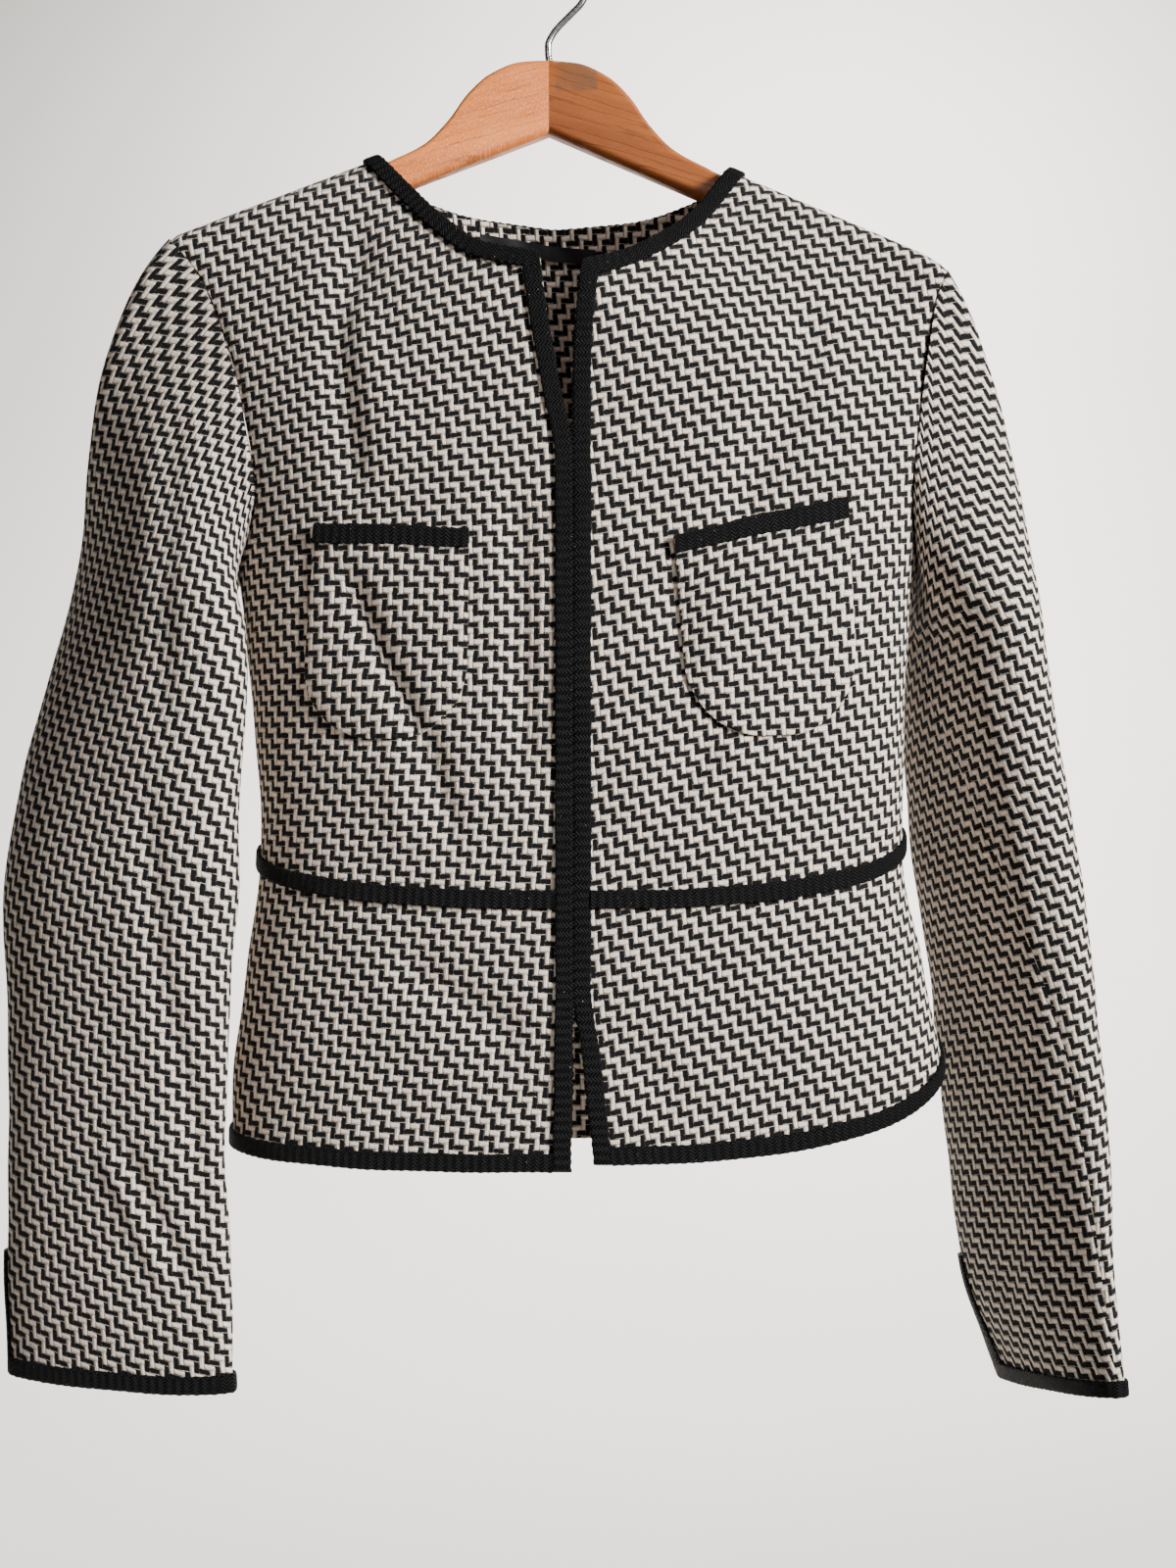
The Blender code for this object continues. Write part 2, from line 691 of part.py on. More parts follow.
def level_braid(name, levels, face, below, above, centre_gap, lift=PLY):
    """A braid round the body, from one height to another about a level."""
    sides = [LEFT if name.endswith("left") else RIGHT] if face == FRONT else [RIGHT, LEFT]
    shares = spread(0.0, 0.6, 6) + spread(0.6, 0.9, 7)[1:] + spread(0.9, 1.0, 6)[1:]
    shares = [share ** EVEN for share in shares]
    lines = [[], []]
    for side in sides:
        walk = shares if side == LEFT or face == FRONT else list(reversed(shares))[:-1]
        for share in walk:
            across = side * share * SIDE_EDGE
            level = level_height(levels, face, side, across)
            for line, shift in zip(lines, (below, above)):
                height = level + shift
                spot = across
                if face == FRONT:
                    x = read_rows(FRONT_EDGES, height, "left" if side == LEFT else "right")
                    start = across_at(side, x + side * centre_gap, height)
                    spot = start + (side * SIDE_EDGE - start) * share
                line.append((spot, height))
    add_body_braid(name, face, lines[0], lines[1], lift)


def add_edge_braid(side, word):
    """The braid down a front edge, from the neckline to the hem."""
    column = "left" if side == LEFT else "right"
    top = NECK_FRONT[side][0].height - 0.0002
    bottom = level_height(HEM, FRONT, side, 0.0)
    heights = spread(top, bottom, 25)
    edge = []
    inner = []
    for height in heights:
        x = read_rows(FRONT_EDGES, height, column)
        edge.append((across_at(side, x, height), height))
        inner.append((across_at(side, x + side * BRAID_WIDTH, height), height))
    add_body_braid("edge_braid_" + word, FRONT, edge, inner)


def neck_braid(name, face, side):
    """The braid round a neckline, from the middle up to the shoulder seam."""
    parts = spread(0.0, 0.80, 9) + [0.86, 0.91, 0.95, 0.98, 0.992, 1.0]
    rows = (NECK_FRONT if face == FRONT else NECK_BACK)[side]

    def spot(part):
        return read_rows(rows, part, "x"), read_rows(rows, part, "height")
    edge = []
    inner = []
    for part in parts:
        x, z = spot(part)
        ahead, behind = spot(min(part + 0.01, 1.0)), spot(max(part - 0.01, 0.0))
        along = Vector((ahead[0] - behind[0], 0, ahead[1] - behind[1])).normalized()
        outward = Vector((-along.z * -side, 0, -side * along.x))
        seamward = Vector((side, 0, -SHOULDER_SLOPE - TILT * side)).normalized()
        settle = min(max((part - 0.55) / 0.45, 0.0), 1.0)
        outward = outward.lerp(seamward, settle * settle).normalized()
        if part >= 1.0:
            z = seam_height(x)
        inner_x = x + outward.x * BRAID_WIDTH
        inner_z = z + outward.z * BRAID_WIDTH
        if part >= 1.0:
            inner_z = seam_height(inner_x)
        if part <= 0.0 and face == FRONT:
            inner_x = read_rows(FRONT_EDGES, inner_z, "left" if side == LEFT else "right")
        edge.append((across_at(side, x, z), z))
        inner.append((across_at(side, inner_x, inner_z), min(inner_z, seam_height(inner_x))))
    return edge, inner


def add_neck_braids():
    """Front braids either side and one across the back of the neck."""
    for side, word in ((RIGHT, "right"), (LEFT, "left")):
        edge, inner = neck_braid(word, FRONT, side)
        start = BRAID_WIDTH + SEAM_GAP * 2
        keep_edge = []
        keep_inner = []
        for (a, b), (c, d) in zip(edge, inner):
            limit = across_at(side, NECK_FRONT[side][0].x + side * start, b)
            keep_edge.append((side * max(abs(a), abs(limit)), b))
            limit = across_at(side, NECK_FRONT[side][0].x + side * start, d)
            keep_inner.append((side * max(abs(c), abs(limit)), d))
        add_body_braid("neck_braid_" + word, FRONT, keep_edge, keep_inner)
    right_edge, right_inner = neck_braid("right", BACK, RIGHT)
    left_edge, left_inner = neck_braid("left", BACK, LEFT)
    edge = list(reversed(right_edge))[:-1] + left_edge
    inner = list(reversed(right_inner))[:-1] + left_inner
    add_body_braid("neck_braid_back", BACK, edge, inner)


def add_sleeve_braids(side, word):
    """Braid round the cuff and up the vent of one sleeve."""
    def surface(angle, down):
        return sleeve_point(side, angle, down)
    length = SLEEVES[side][0].height - SLEEVES[side][-1].height
    band = BRAID_WIDTH / length
    start = HIND_SEAM - 360 + sleeve_seam_angle(side, HIND_SEAM, 2.0)
    end = HIND_SEAM - sleeve_seam_angle(side, HIND_SEAM, 2.0)
    angles = spread(start, end, 39)
    places = [[(angle, row) for angle in angles] for row in (2 - band, 2.0)]
    lay_cloth("cuff_braid_" + word, places, surface, sleeve_normal(side), PLY, PLY + BRAID_THICK, "braid")
    spans = []
    for row in (1 + VENT_RINGS, 2 - band - SEAM_GAP / length):
        edge = HIND_SEAM - 360 + sleeve_seam_angle(side, HIND_SEAM, row)
        seats = [-seat_angle(place) for place in PANEL_ROWS if place > HIND_ROW]
        spans.append([(angle, row) for angle in [edge] + seats + [VENT_BRAID_END]])
    lay_cloth("vent_braid_" + word, spans, surface, sleeve_normal(side), PLY, PLY + BRAID_THICK, "braid")


def add_braids():
    """Every braid: hem, waist seam, front edges, neckline, cuffs and vents."""
    clear = BRAID_WIDTH + SEAM_GAP
    for side, word in ((RIGHT, "right"), (LEFT, "left")):
        level_braid("hem_braid_" + word, HEM, FRONT, 0.0, BRAID_WIDTH, clear)
        half = BRAID_WIDTH / 2
        level_braid("waist_braid_" + word, WAIST, FRONT, -half, half, clear, SEAM_LIFT)
        add_edge_braid(side, word)
        add_sleeve_braids(side, word)
    level_braid("hem_braid_back", HEM, BACK, 0.0, BRAID_WIDTH, 0.0)
    level_braid("waist_braid_back", WAIST, BACK, -BRAID_WIDTH / 2, BRAID_WIDTH / 2, 0.0, SEAM_LIFT)
    add_neck_braids()


# ---------------------------------------------------------------- hanger

ArmRow = namedtuple("ArmRow", "x top")
ARM_TOP = [
    ArmRow(0.000, -0.0640),
    ArmRow(0.016, -0.0663),
    ArmRow(0.0323, -0.0742),
    ArmRow(0.0446, -0.0862),
    ArmRow(0.0549, -0.1014),
    ArmRow(0.068, -0.1155),
    ArmRow(0.088, -0.1272),
]
ARM_APEX = -0.105
ARM_LOWER_SLOPE = 0.462
ARM_CLEAR = CLOTH + 0.0024


def add_hanger_arm(side, word):
    """One wooden arm: rounded bars of changing height, from the mitre out to a round end."""
    builder = bmesh.new()
    stations = [SEAM_GAP / 2, 0.016, 0.028, 0.038, 0.0446, 0.050, 0.056, 0.063, 0.072, 0.080, 0.088]
    stations += [0.094, 0.11, 0.15, 0.175, 0.186, ARM_END_X - 0.003, ARM_END_X]
    rings = []
    for x in stations:
        top = read_rows(ARM_TOP, x, "top") - TILT * side * x
        if x >= ARM_TOP[-1].x:
            top = seam_height(side * x) - ARM_CLEAR
        bottom = ARM_APEX - ARM_LOWER_SLOPE * x - TILT * side * x
        half = ARM_THICK / 2
        ease = max((x - ARM_END_X + 0.008) / 0.008, 0.0)
        shrink = math.sqrt(max(1 - (ease * 0.96) ** 2, 0.0))
        middle = (top + bottom) / 2
        tall = (top - bottom) / 2 * shrink
        half = half * (0.55 + 0.45 * shrink)
        bevel = min(0.0035, tall * 0.4)
        outline = [
            (-half + bevel, tall), (half - bevel, tall), (half, tall - bevel), (half, -tall + bevel),
            (half - bevel, -tall), (-half + bevel, -tall), (-half, -tall + bevel), (-half, tall - bevel),
        ]
        ring = [builder.verts.new((side * x, arm_y(x) + y, middle + z)) for y, z in outline]
        rings.append(ring)
    for first, second in zip(rings, rings[1:]):
        bmesh.ops.bridge_loops(builder, edges=ring_edges(builder, first) + ring_edges(builder, second))
    builder.faces.new(rings[0])
    builder.faces.new(rings[-1])
    add_object("hanger_arm_" + word, builder, "wood")


def ring_edges(builder, ring):
    """The closed loop of edges through a ring of vertices."""
    edges = []
    for first, second in zip(ring, ring[1:] + ring[:1]):
        edge = builder.edges.get((first, second))
        edges.append(edge or builder.edges.new((first, second)))
    return edges


def add_hook():
    """The steel wire hook: a short stem, a lean to the left and a round top."""
    stem = [(0.0000, -0.0635), (-0.0006, -0.0585), (-0.0006, -0.0545), (0.0012, -0.0500),
            (0.0048, -0.0450), (0.0092, -0.0405)]
    route = [Vector((x, 0.0, z)) for x, z in stem]
    for angle in spread(-50, 205, 20):
        swing = math.radians(angle)
        x = HOOK_RADIUS * math.cos(swing)
        z = HOOK_RADIUS * math.sin(swing) - HOOK_RADIUS + WIRE / 2
        route.append(Vector((x, 0.0, z)))
    curve = bpy.data.curves.new("hook", "CURVE")
    curve.dimensions = "3D"
    curve.bevel_depth = WIRE / 2
    curve.bevel_resolution = 2
    curve.use_fill_caps = True
    spline = curve.splines.new("POLY")
    spline.points.add(len(route) - 1)
    for point, spot in zip(spline.points, route):
        point.co = (*spot, 1.0)
    curve.materials.append(finish_material("steel"))
    bpy.context.scene.collection.objects.link(bpy.data.objects.new("hook", curve))


# ---------------------------------------------------------------- build

for old in list(bpy.data.objects):
    bpy.data.objects.remove(old, do_unlink=True)
add_body()
for hand, hand_word in ((RIGHT, "right"), (LEFT, "left")):
    add_sleeve(hand, hand_word)
    add_pocket(hand, hand_word)
    add_hanger_arm(hand, hand_word)
add_braids()
add_label()
add_hook()
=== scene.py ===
"""A cropped tweed jacket bound with braid, on its wooden hanger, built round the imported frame."""
import json
import math
from collections import namedtuple

import bmesh
import bpy
import numpy as np
from mathutils import Vector
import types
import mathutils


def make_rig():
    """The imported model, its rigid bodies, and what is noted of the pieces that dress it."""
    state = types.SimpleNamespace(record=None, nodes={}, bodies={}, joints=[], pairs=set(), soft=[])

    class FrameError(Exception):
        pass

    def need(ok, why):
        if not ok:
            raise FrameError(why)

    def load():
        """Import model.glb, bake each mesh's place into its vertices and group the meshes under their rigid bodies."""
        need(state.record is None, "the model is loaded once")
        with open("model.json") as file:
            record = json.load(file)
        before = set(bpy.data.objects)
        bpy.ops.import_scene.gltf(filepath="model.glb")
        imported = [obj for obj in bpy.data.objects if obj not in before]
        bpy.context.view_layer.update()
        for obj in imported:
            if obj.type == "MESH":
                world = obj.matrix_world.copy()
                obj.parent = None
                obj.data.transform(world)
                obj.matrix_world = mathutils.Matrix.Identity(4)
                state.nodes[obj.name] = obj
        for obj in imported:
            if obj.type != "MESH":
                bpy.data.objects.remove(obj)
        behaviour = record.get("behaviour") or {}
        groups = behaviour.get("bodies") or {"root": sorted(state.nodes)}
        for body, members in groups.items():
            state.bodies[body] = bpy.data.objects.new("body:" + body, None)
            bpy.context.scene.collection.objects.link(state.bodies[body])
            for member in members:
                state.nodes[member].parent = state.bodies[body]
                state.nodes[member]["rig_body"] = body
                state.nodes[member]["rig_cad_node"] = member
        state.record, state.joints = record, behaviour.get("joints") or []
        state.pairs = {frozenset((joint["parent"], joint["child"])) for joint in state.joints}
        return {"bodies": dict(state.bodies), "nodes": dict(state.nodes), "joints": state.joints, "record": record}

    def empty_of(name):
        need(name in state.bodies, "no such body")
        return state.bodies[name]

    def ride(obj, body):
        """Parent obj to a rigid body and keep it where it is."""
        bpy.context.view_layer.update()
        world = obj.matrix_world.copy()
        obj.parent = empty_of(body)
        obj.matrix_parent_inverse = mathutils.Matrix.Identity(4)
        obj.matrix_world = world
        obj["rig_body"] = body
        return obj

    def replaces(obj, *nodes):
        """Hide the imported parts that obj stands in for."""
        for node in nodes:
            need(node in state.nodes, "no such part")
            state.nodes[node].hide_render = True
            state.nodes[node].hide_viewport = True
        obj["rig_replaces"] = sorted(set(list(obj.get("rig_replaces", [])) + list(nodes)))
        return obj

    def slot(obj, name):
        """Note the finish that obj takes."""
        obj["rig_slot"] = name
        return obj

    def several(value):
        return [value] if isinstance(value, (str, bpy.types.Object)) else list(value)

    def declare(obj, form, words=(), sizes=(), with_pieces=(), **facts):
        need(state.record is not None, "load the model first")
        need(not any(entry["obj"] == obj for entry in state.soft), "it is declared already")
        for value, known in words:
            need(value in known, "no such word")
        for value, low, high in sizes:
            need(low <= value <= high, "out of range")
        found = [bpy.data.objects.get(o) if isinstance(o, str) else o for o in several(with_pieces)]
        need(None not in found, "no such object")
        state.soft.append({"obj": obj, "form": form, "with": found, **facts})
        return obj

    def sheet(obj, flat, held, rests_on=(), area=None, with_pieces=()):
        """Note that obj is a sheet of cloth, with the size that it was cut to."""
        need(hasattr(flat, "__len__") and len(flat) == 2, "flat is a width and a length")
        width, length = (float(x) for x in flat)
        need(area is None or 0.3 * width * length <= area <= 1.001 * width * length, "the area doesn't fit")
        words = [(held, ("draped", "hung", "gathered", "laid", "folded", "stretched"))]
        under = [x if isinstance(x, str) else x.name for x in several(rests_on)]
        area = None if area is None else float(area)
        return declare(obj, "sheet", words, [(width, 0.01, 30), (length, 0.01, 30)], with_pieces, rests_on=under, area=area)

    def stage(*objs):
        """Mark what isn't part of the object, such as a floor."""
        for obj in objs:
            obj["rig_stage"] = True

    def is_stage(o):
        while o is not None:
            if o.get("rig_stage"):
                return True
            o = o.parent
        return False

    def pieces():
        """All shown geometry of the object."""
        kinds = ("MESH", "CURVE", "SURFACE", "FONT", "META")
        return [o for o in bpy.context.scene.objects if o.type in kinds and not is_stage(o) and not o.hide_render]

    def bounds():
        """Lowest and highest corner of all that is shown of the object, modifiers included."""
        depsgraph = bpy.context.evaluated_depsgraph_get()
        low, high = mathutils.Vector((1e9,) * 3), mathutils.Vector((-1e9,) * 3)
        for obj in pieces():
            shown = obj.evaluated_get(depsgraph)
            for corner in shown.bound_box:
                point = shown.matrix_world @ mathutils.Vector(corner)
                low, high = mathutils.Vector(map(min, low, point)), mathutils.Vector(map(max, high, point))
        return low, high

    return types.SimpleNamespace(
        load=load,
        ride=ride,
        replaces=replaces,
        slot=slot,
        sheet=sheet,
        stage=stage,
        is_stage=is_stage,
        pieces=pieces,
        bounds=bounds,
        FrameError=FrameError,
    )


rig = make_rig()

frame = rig.load()
cad_low, cad_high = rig.bounds()


# ---------------------------------------------------------------- the tweed
# Black and cream wool, one of each in turn both ways, in a two-and-two twill,
# so that the colours step down to the right.  The cream yarn is plump and
# heathered, the black one thin and close.

END_PITCH = 0.0026
PICK_PITCH = 0.0030
CREAM = (0.86, 0.735, 0.615, 1.0)
CREAM_PAINTED_SHADE = (0.225, 0.180, 0.145, 1.0)
CREAM_PINK = (0.70, 0.57, 0.53, 1.0)
CREAM_GREEN = (0.55, 0.53, 0.43, 1.0)
WOOL_BLACK = (0.004, 0.004, 0.0045, 1.0)
WOOL_BLACK_FUZZ = (0.026, 0.024, 0.023, 1.0)


def calc(tree, operation, *values):
    """One step of a material's sums, over sockets and plain numbers."""
    node = tree.nodes.new("ShaderNodeMath")
    node.operation = operation
    for socket, value in zip(node.inputs, values):
        if isinstance(value, (int, float)):
            socket.default_value = value
        else:
            tree.links.new(value, socket)
    return node.outputs[0]


def pick(tree, share, first, second):
    """A number that is first where share is 0 and second where it is 1."""
    return calc(tree, "ADD", first, calc(tree, "MULTIPLY", share, calc(tree, "SUBTRACT", second, first)))


def tint(tree, share, first, second, kind="MIX"):
    """A colour between two, by share."""
    node = tree.nodes.new("ShaderNodeMix")
    node.data_type = "RGBA"
    node.blend_type = kind
    for socket, value in ((node.inputs[0], share), (node.inputs[6], first), (node.inputs[7], second)):
        if isinstance(value, (int, float, tuple)):
            socket.default_value = value
        else:
            tree.links.new(value, socket)
    return node.outputs[2]


def ease(tree, value, low, high, out_low=0.0, out_high=1.0):
    """A smooth step of a value from one level to another."""
    node = tree.nodes.new("ShaderNodeMapRange")
    node.interpolation_type = "SMOOTHSTEP"
    tree.links.new(value, node.inputs[0])
    for socket, level in zip(node.inputs[1:5], (low, high, out_low, out_high)):
        socket.default_value = level
    return node.outputs[0]


def mottle(tree, place, scale, detail=2.0, rough=0.5):
    """Cloudy noise over a place; its fac and its colour."""
    node = tree.nodes.new("ShaderNodeTexNoise")
    node.inputs["Scale"].default_value = scale
    node.inputs["Detail"].default_value = detail
    node.inputs["Roughness"].default_value = rough
    tree.links.new(place, node.inputs["Vector"])
    return node.outputs[0], node.outputs[1]


def split(tree, vector):
    """The three numbers of a vector."""
    node = tree.nodes.new("ShaderNodeSeparateXYZ")
    tree.links.new(vector, node.inputs[0])
    return node.outputs[0], node.outputs[1], node.outputs[2]


def join(tree, x, y, z=0.0):
    """A vector from three numbers."""
    node = tree.nodes.new("ShaderNodeCombineXYZ")
    for socket, value in zip(node.inputs, (x, y, z)):
        if isinstance(value, (int, float)):
            socket.default_value = value
        else:
            tree.links.new(value, socket)
    return node.outputs[0]


def start_material(name, roughness, **settings):
    """A new Principled material, with its tree, shader and grain coordinates."""
    material = bpy.data.materials.new(name)
    material.use_nodes = True
    tree = material.node_tree
    shader = tree.nodes["Principled BSDF"]
    shader.inputs["Roughness"].default_value = roughness
    for socket, value in settings.items():
        shader.inputs[socket.replace("_", " ").title()].default_value = value
    grain = tree.nodes.new("ShaderNodeUVMap")
    grain.uv_map = "grain"
    return material, tree, shader, grain.outputs[0]


def relief(tree, shader, height, depth):
    """Raises the surface by a height map, in metres at full height."""
    bump = tree.nodes.new("ShaderNodeBump")
    bump.inputs["Strength"].default_value = 1.0
    bump.inputs["Distance"].default_value = depth
    tree.links.new(height, bump.inputs["Height"])
    tree.links.new(bump.outputs[0], shader.inputs["Normal"])


def make_tweed():
    """The woven pattern, charted from the two-and-two twill."""
    material, tree, shader, grain = start_material("tweed", 0.93, sheen_weight=0.08, sheen_roughness=0.5)
    shader.inputs["Specular IOR Level"].default_value = 0.10
    sway = split(tree, mottle(tree, grain, 110.0)[1])
    u, v, _ = split(tree, grain)
    ends = calc(tree, "ADD", calc(tree, "DIVIDE", u, END_PITCH), calc(tree, "MULTIPLY", sway[0], 0.62))
    picks = calc(tree, "ADD", calc(tree, "DIVIDE", v, PICK_PITCH), calc(tree, "MULTIPLY", sway[1], 0.54))
    end, over_end = calc(tree, "FLOOR", ends), calc(tree, "FRACT", ends)
    row, over_row = calc(tree, "FLOOR", picks), calc(tree, "FRACT", picks)
    step = calc(tree, "FLOORED_MODULO", calc(tree, "SUBTRACT", row, end), 4.0)
    weft = calc(tree, "LESS_THAN", step, 1.5)
    turn = pick(tree, weft, calc(tree, "FLOORED_MODULO", end, 2.0), calc(tree, "FLOORED_MODULO", row, 2.0))
    black = calc(tree, "LESS_THAN", turn, 0.5)
    side = calc(tree, "SUBTRACT", pick(tree, weft, over_end, over_row), 0.5)
    across = calc(tree, "ABSOLUTE", side)
    weft_run = calc(tree, "SUBTRACT", calc(tree, "ADD", over_end, 1.0), step)
    warp_run = calc(tree, "SUBTRACT", calc(tree, "ADD", over_row, step), 2.0)
    run = pick(tree, weft, warp_run, weft_run)
    along = calc(tree, "ABSOLUTE", calc(tree, "SUBTRACT", run, 1.0))
    fibre_place = join(tree, calc(tree, "MULTIPLY", ends, 1.0), calc(tree, "MULTIPLY", picks, 1.0))
    fuzz, _ = mottle(tree, fibre_place, 2.8, 3.0, 0.7)
    cloud, cloud_color = mottle(tree, fibre_place, 0.55, 2.0)
    heather = split(tree, cloud_color)
    # the thin black yarn, and the cream that swells in beside it
    half = pick(tree, weft, 0.515, 0.450)
    waist = calc(tree, "POWER", calc(tree, "DIVIDE", across, half), 3.0)
    tip = calc(tree, "POWER", calc(tree, "MULTIPLY", along, 0.93), 9.0)
    fray = calc(tree, "MULTIPLY", calc(tree, "SUBTRACT", fuzz, 0.5), 2.0)
    edge = calc(tree, "ADD", calc(tree, "ADD", waist, tip), fray)
    inside = ease(tree, edge, 1.35, 0.70)
    ink = calc(tree, "MULTIPLY", black, inside)
    # plump cream yarn: crowned, pinched where it dives, streaked by its plies; where it sinks, beside the black yarn
    # and between its plies, its colour is darkened with painted shade
    crown = calc(tree, "SUBTRACT", 1.0, calc(tree, "MULTIPLY", calc(tree, "POWER", across, 2.0), 3.0))
    crown = calc(tree, "SUBTRACT", crown, calc(tree, "MULTIPLY", calc(tree, "POWER", along, 6.0), 0.35))
    beside = calc(tree, "ADD", 0.25, calc(tree, "MULTIPLY", across, 0.9))
    cream_height = pick(tree, black, crown, beside)
    height = pick(tree, ink, cream_height, 0.42)
    twist = calc(tree, "ADD", calc(tree, "MULTIPLY", side, 12.5), calc(tree, "MULTIPLY", run, 1.6))
    twist = calc(tree, "ADD", twist, calc(tree, "MULTIPLY", fuzz, 5.0))
    ply = calc(tree, "MULTIPLY_ADD", calc(tree, "COSINE", twist), 0.5, 0.5)
    # painted shade: the cream is darkened towards its shade colour where its height is low, in the hollows of the
    # weave and in the grooves between the plies
    deep = ease(tree, calc(tree, "ADD", cream_height, calc(tree, "MULTIPLY", ply, 0.45)), 0.36, 1.08)
    cream = tint(tree, deep, CREAM_PAINTED_SHADE, CREAM)
    cream = tint(tree, ease(tree, heather[0], 0.50, 0.72, 0.0, 0.65), cream, CREAM_PINK)
    cream = tint(tree, ease(tree, heather[1], 0.52, 0.74, 0.0, 0.60), cream, CREAM_GREEN)
    dark = tint(tree, ease(tree, fuzz, 0.45, 0.8, 0.0, 0.7), WOOL_BLACK, WOOL_BLACK_FUZZ)
    tree.links.new(tint(tree, ink, cream, dark), shader.inputs["Base Color"])
    rise = calc(tree, "ADD", height, calc(tree, "MULTIPLY", ply, 0.16))
    rise = calc(tree, "ADD", rise, calc(tree, "MULTIPLY", fuzz, 0.30))
    relief(tree, shader, rise, 0.0011)
    return material


TWEED = make_tweed()


# ---------------------------------------------------------------- bodice
# Two fronts and a back of one thickness of tweed, meeting edge to edge at the
# shoulder and side seams.  They hang from the arms of the hanger in an oval
# tube, pulled into soft drag lines from the shoulders to the waist darts.

RIGHT, LEFT = -1, 1
FRONT, BACK = -1, 1
CLOTH = 0.0018
SEAM_GAP = 0.0003
BODY_Y = -0.012
ARM_SWEEP = 0.16
ARM_END_X = 0.194
NECK_HALF = 0.097
SEAM_AT_NECK = -0.1275
SHOULDER_SLOPE = 0.462
SHOULDER_DROOP = 8.0
TILT = 0.022
TIP_X = {RIGHT: -0.2021, LEFT: 0.2135}
ROLL = 0.0115
CHEST_DROP = 0.13
BODY_OVAL = 2.5

Section = namedtuple("Section", "height middle right left front back")
BODY = [
    Section(-0.100, 0.0020, 0.238, 0.238, 0.056, 0.052),
    Section(-0.190, 0.0080, 0.224, 0.224, 0.062, 0.058),
    Section(-0.270, 0.0130, 0.205, 0.207, 0.066, 0.062),
    Section(-0.345, 0.0139, 0.183, 0.186, 0.067, 0.060),
    Section(-0.420, 0.0139, 0.175, 0.180, 0.066, 0.056),
    Section(-0.500, 0.0139, 0.171, 0.178, 0.063, 0.054),
    Section(-0.560, 0.0139, 0.177, 0.190, 0.063, 0.055),
    Section(-0.620, 0.0145, 0.186, 0.200, 0.063, 0.058),
    Section(-0.690, 0.0160, 0.190, 0.205, 0.063, 0.060),
]
Edge = namedtuple("Edge", "height right left")
FRONT_EDGES = [
    Edge(-0.185, -0.0045, 0.0190),
    Edge(-0.225, 0.0005, 0.0155),
    Edge(-0.262, 0.0072, 0.0141),
    Edge(-0.302, 0.0136, 0.0142),
    Edge(-0.566, 0.0136, 0.0142),
    Edge(-0.610, 0.0132, 0.0195),
    Edge(-0.670, 0.0120, 0.0262),
]
NeckRow = namedtuple("NeckRow", "part x height")
NECK = {
    (FRONT, RIGHT): [
        NeckRow(0.00, -0.0034, -0.1907),
        NeckRow(0.28, -0.0350, -0.1827),
        NeckRow(0.46, -0.0525, -0.1688),
        NeckRow(0.74, -0.0722, -0.1480),
        NeckRow(1.00, -0.0925, -0.1233),
    ],
    (FRONT, LEFT): [
        NeckRow(0.00, 0.0185, -0.1947),
        NeckRow(0.22, 0.0404, -0.1878),
        NeckRow(0.43, 0.0610, -0.1755),
        NeckRow(0.65, 0.0785, -0.1590),
        NeckRow(1.00, 0.0985, -0.1303),
    ],
    (BACK, RIGHT): [
        NeckRow(0.00, 0.0030, -0.1475),
        NeckRow(0.40, -0.0350, -0.1450),
        NeckRow(0.80, -0.0740, -0.1370),
        NeckRow(1.00, -0.0925, -0.1233),
    ],
    (BACK, LEFT): [
        NeckRow(0.00, 0.0030, -0.1475),
        NeckRow(0.40, 0.0390, -0.1470),
        NeckRow(0.80, 0.0790, -0.1405),
        NeckRow(1.00, 0.0985, -0.1303),
    ],
}
ArmholeRow = namedtuple("ArmholeRow", "part across height")
ARMHOLES = {
    (FRONT, RIGHT): [
        ArmholeRow(0.18, 0.620, -0.197),
        ArmholeRow(0.36, 0.590, -0.235),
        ArmholeRow(0.54, 0.602, -0.275),
        ArmholeRow(0.70, 0.640, -0.310),
        ArmholeRow(0.85, 0.770, -0.337),
        ArmholeRow(1.00, 1.000, -0.347),
    ],
    (FRONT, LEFT): [
        ArmholeRow(0.18, 0.662, -0.210),
        ArmholeRow(0.36, 0.648, -0.245),
        ArmholeRow(0.54, 0.668, -0.282),
        ArmholeRow(0.70, 0.735, -0.315),
        ArmholeRow(0.85, 0.850, -0.338),
        ArmholeRow(1.00, 1.000, -0.347),
    ],
    (BACK, RIGHT): [
        ArmholeRow(0.18, 0.685, -0.200),
        ArmholeRow(0.36, 0.665, -0.240),
        ArmholeRow(0.54, 0.675, -0.280),
        ArmholeRow(0.70, 0.725, -0.314),
        ArmholeRow(0.85, 0.835, -0.337),
        ArmholeRow(1.00, 1.000, -0.347),
    ],
    (BACK, LEFT): [
        ArmholeRow(0.18, 0.685, -0.210),
        ArmholeRow(0.36, 0.665, -0.247),
        ArmholeRow(0.54, 0.675, -0.283),
        ArmholeRow(0.70, 0.725, -0.315),
        ArmholeRow(0.85, 0.835, -0.338),
        ArmholeRow(1.00, 1.000, -0.347),
    ],
}
Level = namedtuple("Level", "middle side")
WAIST = {
    (FRONT, RIGHT): Level(-0.5234, -0.5020),
    (FRONT, LEFT): Level(-0.5234, -0.4930),
    (BACK, RIGHT): Level(-0.5120, -0.5020),
    (BACK, LEFT): Level(-0.5120, -0.4930),
}
LEVEL_RISE = 1.75
EVEN = BODY_OVAL / 2
NECK_SHARE = 0.53 ** EVEN
SIDE_SHARE = 0.40
SIDE_EDGE = 0.9995


